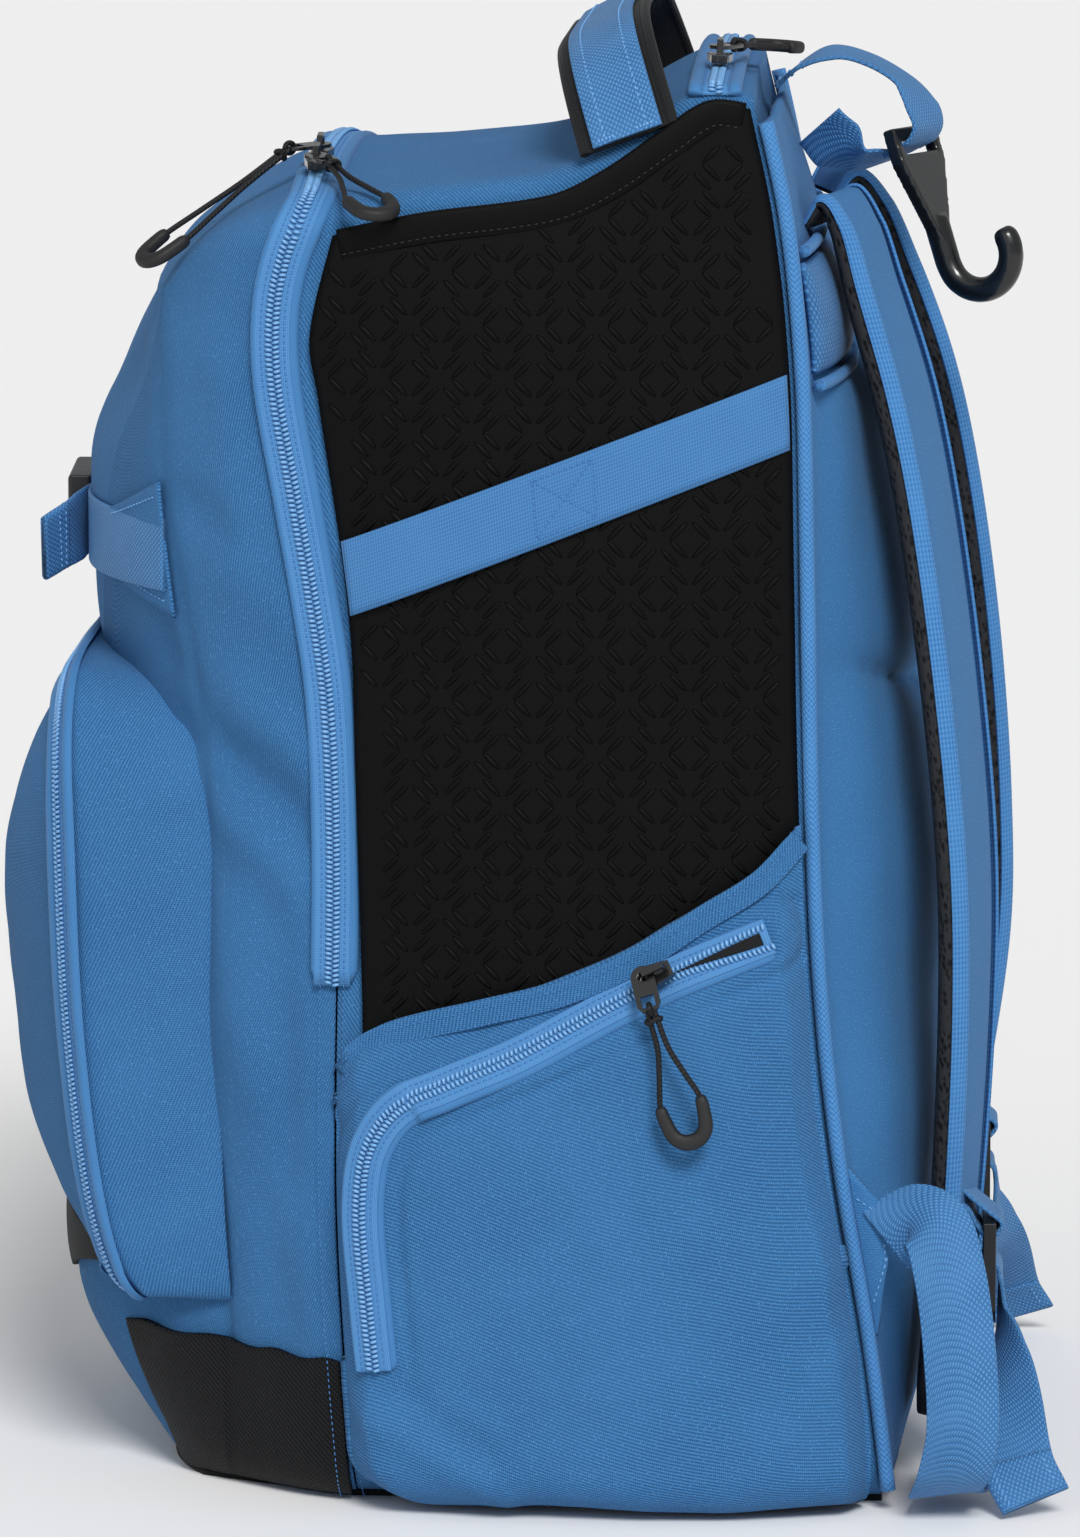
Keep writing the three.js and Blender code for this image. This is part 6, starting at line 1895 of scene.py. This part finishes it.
# %% Front strap and buckle
STRAP_UP = 334
reach = front_half_width(STRAP_UP)


def front_band_frame(t):
    x = mix(-reach, reach, t) * 0.985
    place = Vector((x, face_at(x, STRAP_UP) - GAP - 0.9, STRAP_UP))
    ahead = Vector((x + 0.5, face_at(x + 0.5, STRAP_UP) - GAP - 0.9, STRAP_UP))
    forward = (ahead - place).normalized()
    across = Vector((0, 0, -1))
    return place, across, across.cross(forward)


flat_side = 1 if front_band_frame(0.5)[2].y < 0 else -1
front_section = [(a, o * flat_side) for a, o in band(WEB_WIDTH, WEB_THICKNESS, 0)]
ribbon("front_strap_web", front_band_frame, 120, front_section, webbing_blue, ["front_strap"])
tail_y = face_at(6, STRAP_UP) - GAP - WEB_THICKNESS - 0.6
TAIL = [
    (6, tail_y, 334, 0, 0, 1), (16, tail_y - 1.5, 333.6, 0, 0, 1), (26, tail_y - 4, 332, 0, 0, 1),
    (36, tail_y - 8, 330, 0.1, 0.1, 1), (45, tail_y - 13.5, 327, 0.1, 0.15, 1),
]
tail_at = route_frame(TAIL)
ribbon("front_tail", tail_at, 40, band(WEB_WIDTH - 0.4, WEB_THICKNESS), webbing_blue)
marks = even_marks(16, 0.68, 1)
ribbon("front_tail_hem", tail_at, marks, band(WEB_WIDTH - 0.2, 2.8, -1.4), webbing_blue)
rows = [across_line(tail_at, t, 11, o) for t in (0.74, 0.82) for o in (1.5, -1.5)]
threads("front_tail_stitches", rows, thread_pale, 2.4, 0.34)
from_solid("buckle_body", "front_buckle", black_plastic, 0.8)


def front_wing(side):
    def place(u, v):
        x = mix(0.66, 0.985, u) * reach
        half = mix(12.7, 24, u**1.3)
        z = STRAP_UP + mix(-half, half, v) + 2 * u
        return Vector((x * side, face_at(x, z) - 0.7, z))

    return place


for side, word in SIDES:
    wing = front_wing(side)
    cloth(f"front_wing_{word}", wing, 30, 16, canvas, (), 1.2, inside=(0, 0, 330), offset=1.0)
    out = Vector((0.4 * side, -1, 0)).normalized()
    rows = [seam(wing, (0.04, v), (0.94, v), out, 1.4) for v in (0.1, 0.9)]
    threads(f"front_wing_stitches_{word}", rows, thread_pale, 2.6, 0.32)

# %% [markdown]
# Six zip pulls hang on the bag. A cord is looped through the tab in a lark's head knot, and a soft
# rubber grip is moulded round its bend. The loop is drawn once on a flat sheet, and a matrix then
# hangs that sheet on each tab. A cord is a fixed length of limp braid.

# %% Zip pulls
GRIP_HALF = 7.1
BAR = 12.2
KNOT = 4
SLIDER_SEAT = 2.9
LEG_AHEAD = 4.15
LEG_UP = 4.3
BAR_UP = 0.65
GRIP_START = 0.25
GRIP_END = 0.75


def cord_points(down):
    side = [
        (1.15, 0), (1.35, -KNOT), (1.9, mix(-KNOT, GRIP_HALF - down, 0.35)),
        (4.6, mix(-KNOT, GRIP_HALF - down, 0.7)), (7.1, GRIP_HALF - down),
        (6.9, GRIP_HALF * 0.2 - down), (5.6, -GRIP_HALF * 0.6 - down), (3, -GRIP_HALF * 0.95 - down),
    ]
    return side + [(0, -GRIP_HALF * 1.05 - down)] + [(-x, y) for x, y in reversed(side)]


def axes(across, up, place):
    y = up.normalized()
    x = square_to(across, y)
    return Matrix.Translation(place) @ Matrix((x, y, x.cross(y))).transposed().to_4x4()


def flat_frame(line, matrix):
    turn = matrix.to_3x3()

    def at(t):
        forward = line.forward(t)
        across = turn @ Vector((forward.y, -forward.x, 0))
        return matrix @ line.at(t), across, turn @ Vector((0, 0, 1))

    return at


# %% [markdown]
# Slider and tab are hard, and their solids are right, so each is a merged copy with softened edges.
# Then the cord, its turn round the tab, its knot and the grip are hung on them. A real cord neither
# stretches nor shrinks.

# %% The six pulls


def pull(name, seat_frame, target, lift):
    place, across, out = seat_frame
    along = across.cross(out).normalized()
    target = Vector(target)
    seat = place + out * (lift + SLIDER_SEAT)
    leg = -1 if (target - seat).dot(along) < 0 else 1
    leg_place = seat + along * LEG_AHEAD * leg + out * LEG_UP
    flat = square_to(target - leg_place, out)
    bar = leg_place + flat * BAR + out * BAR_UP
    down = target - bar
    matrix = axes(out.cross(flat), -down, bar)
    line = Route([(x, y, 0) for x, y in cord_points(down.length)])
    frame_at = flat_frame(line, matrix)
    from_solid(f"{name}_slider_body", f"{name}_slider", lacquer, 0.3)
    from_solid(f"{name}_tab_body", f"{name}_tab", lacquer, 0.25)
    cord = ribbon(
        f"{name}_cord_braid", frame_at, 110, circle(1.0, 12), braid, [f"{name}_cord"]
    )
    turns = [2 * math.pi * i / 12 for i in range(13)]
    knot_turn = Route(
        [(2.6 * math.cos(a), -KNOT + 0.4 * math.sin(2 * a), 1.6 * math.sin(a)) for a in turns]
    )
    bar_turn = Route([(0, 1.9 * math.cos(a), 1.9 * math.sin(a)) for a in turns])

    def ring_frame(ring, axis):
        def at(t):
            forward = ring.forward(t)
            side = Vector(axis)
            return (
                matrix @ ring.at(t), matrix.to_3x3() @ side, matrix.to_3x3() @ side.cross(forward)
            )

        return at

    knot = ribbon(f"{name}_knot", ring_frame(knot_turn, (0, 1, 0)), 40, circle(0.95, 10), braid)
    ring = ribbon(f"{name}_ring", ring_frame(bar_turn, (1, 0, 0)), 30, circle(0.9, 10), braid)

    def grip_outline(t):
        share = abs((t - GRIP_START) / (GRIP_END - GRIP_START) - 0.5) * 2
        wide = 2.2 * mix(1.3, 0.95, share**1.5)
        tip = mix(0.72, 1, clamp((1 - share) / 0.08) ** 0.5)
        outline = []
        for i in range(20):
            turn = 2 * math.pi * i / 20
            c, s = math.cos(turn), math.sin(turn)
            a = math.copysign(abs(c) ** 0.75, c) * wide * tip
            outline.append((a, math.copysign(abs(s) ** 0.75, s) * 2.25 * tip))
        return outline

    marks = even_marks(70, GRIP_START, GRIP_END)
    grip = ribbon(f"{name}_grip_body", frame_at, marks, grip_outline, rubber, [f"{name}_grip"])
    path = [frame_at(t)[0] * MM for t in even_marks(36)]


for side, word in SIDES:
    pull(f"side_pull_{word}", side_zip_frame(side)(0.86), (181 * side, 43, 146), SIDE_LIFT)
pull("rear_pull", rear_zip_frame(0.875), (32, 71, 507), REAR_LIFT)
pull("pocket_pull", pocket_zip_frame(0.8), (-108, -209, 205), POCKET_LIFT)
pull("main_pull_front", main_zip_frame(0.868), (117, -142, 441.5), MAIN_LIFT)
pull("main_pull_back", main_zip_frame(0.835), (152, -66, 459), MAIN_LIFT)

# %% [markdown]
# The bag stands on a plain pale floor in soft light. A wide sun lamp, a little to the right of the
# camera and high up, gives the folds their shade. A weak one and the even sky keep the shadows
# open.

# %% Floor and light
bm = bmesh.new()
bmesh.ops.create_grid(bm, x_segments=1, y_segments=1, size=60)
floor_mesh = bpy.data.meshes.new("floor")
bm.to_mesh(floor_mesh)
bm.free()
floor = bpy.data.objects.new("floor", floor_mesh)
bpy.context.collection.objects.link(floor)
floor_finish = bpy.data.materials.new("pale_floor")
floor_finish.use_nodes = True
floor_shader = floor_finish.node_tree.nodes["Principled BSDF"]
floor_shader.inputs["Base Color"].default_value = (0.91, 0.905, 0.9, 1)
floor_shader.inputs["Roughness"].default_value = 1.0
floor_shader.inputs["Specular IOR Level"].default_value = 0.0
floor_mesh.materials.append(floor_finish)


def sun(name, azimuth, elevation, strength, softness):
    lamp = bpy.data.lights.new(name, "SUN")
    lamp.energy = strength
    lamp.angle = math.radians(softness)
    holder = bpy.data.objects.new(name, lamp)
    a, e = math.radians(azimuth), math.radians(elevation)
    way = Vector((math.sin(a) * math.cos(e), -math.cos(a) * math.cos(e), math.sin(e)))
    holder.rotation_euler = (-way).to_track_quat("-Z", "Y").to_euler()
    bpy.context.collection.objects.link(holder)


sun("key_light", 104, 40, 2.45, 20)
sun("fill_light", 60, 20, 0.3, 60)
world = bpy.data.worlds.new("studio")
world.use_nodes = True
sky = world.node_tree.nodes["Background"]
sky.inputs["Color"].default_value = (0.97, 0.985, 1.0, 1)
sky.inputs["Strength"].default_value = 0.42
bpy.context.scene.world = world
bpy.context.scene.view_settings.view_transform = "Standard"
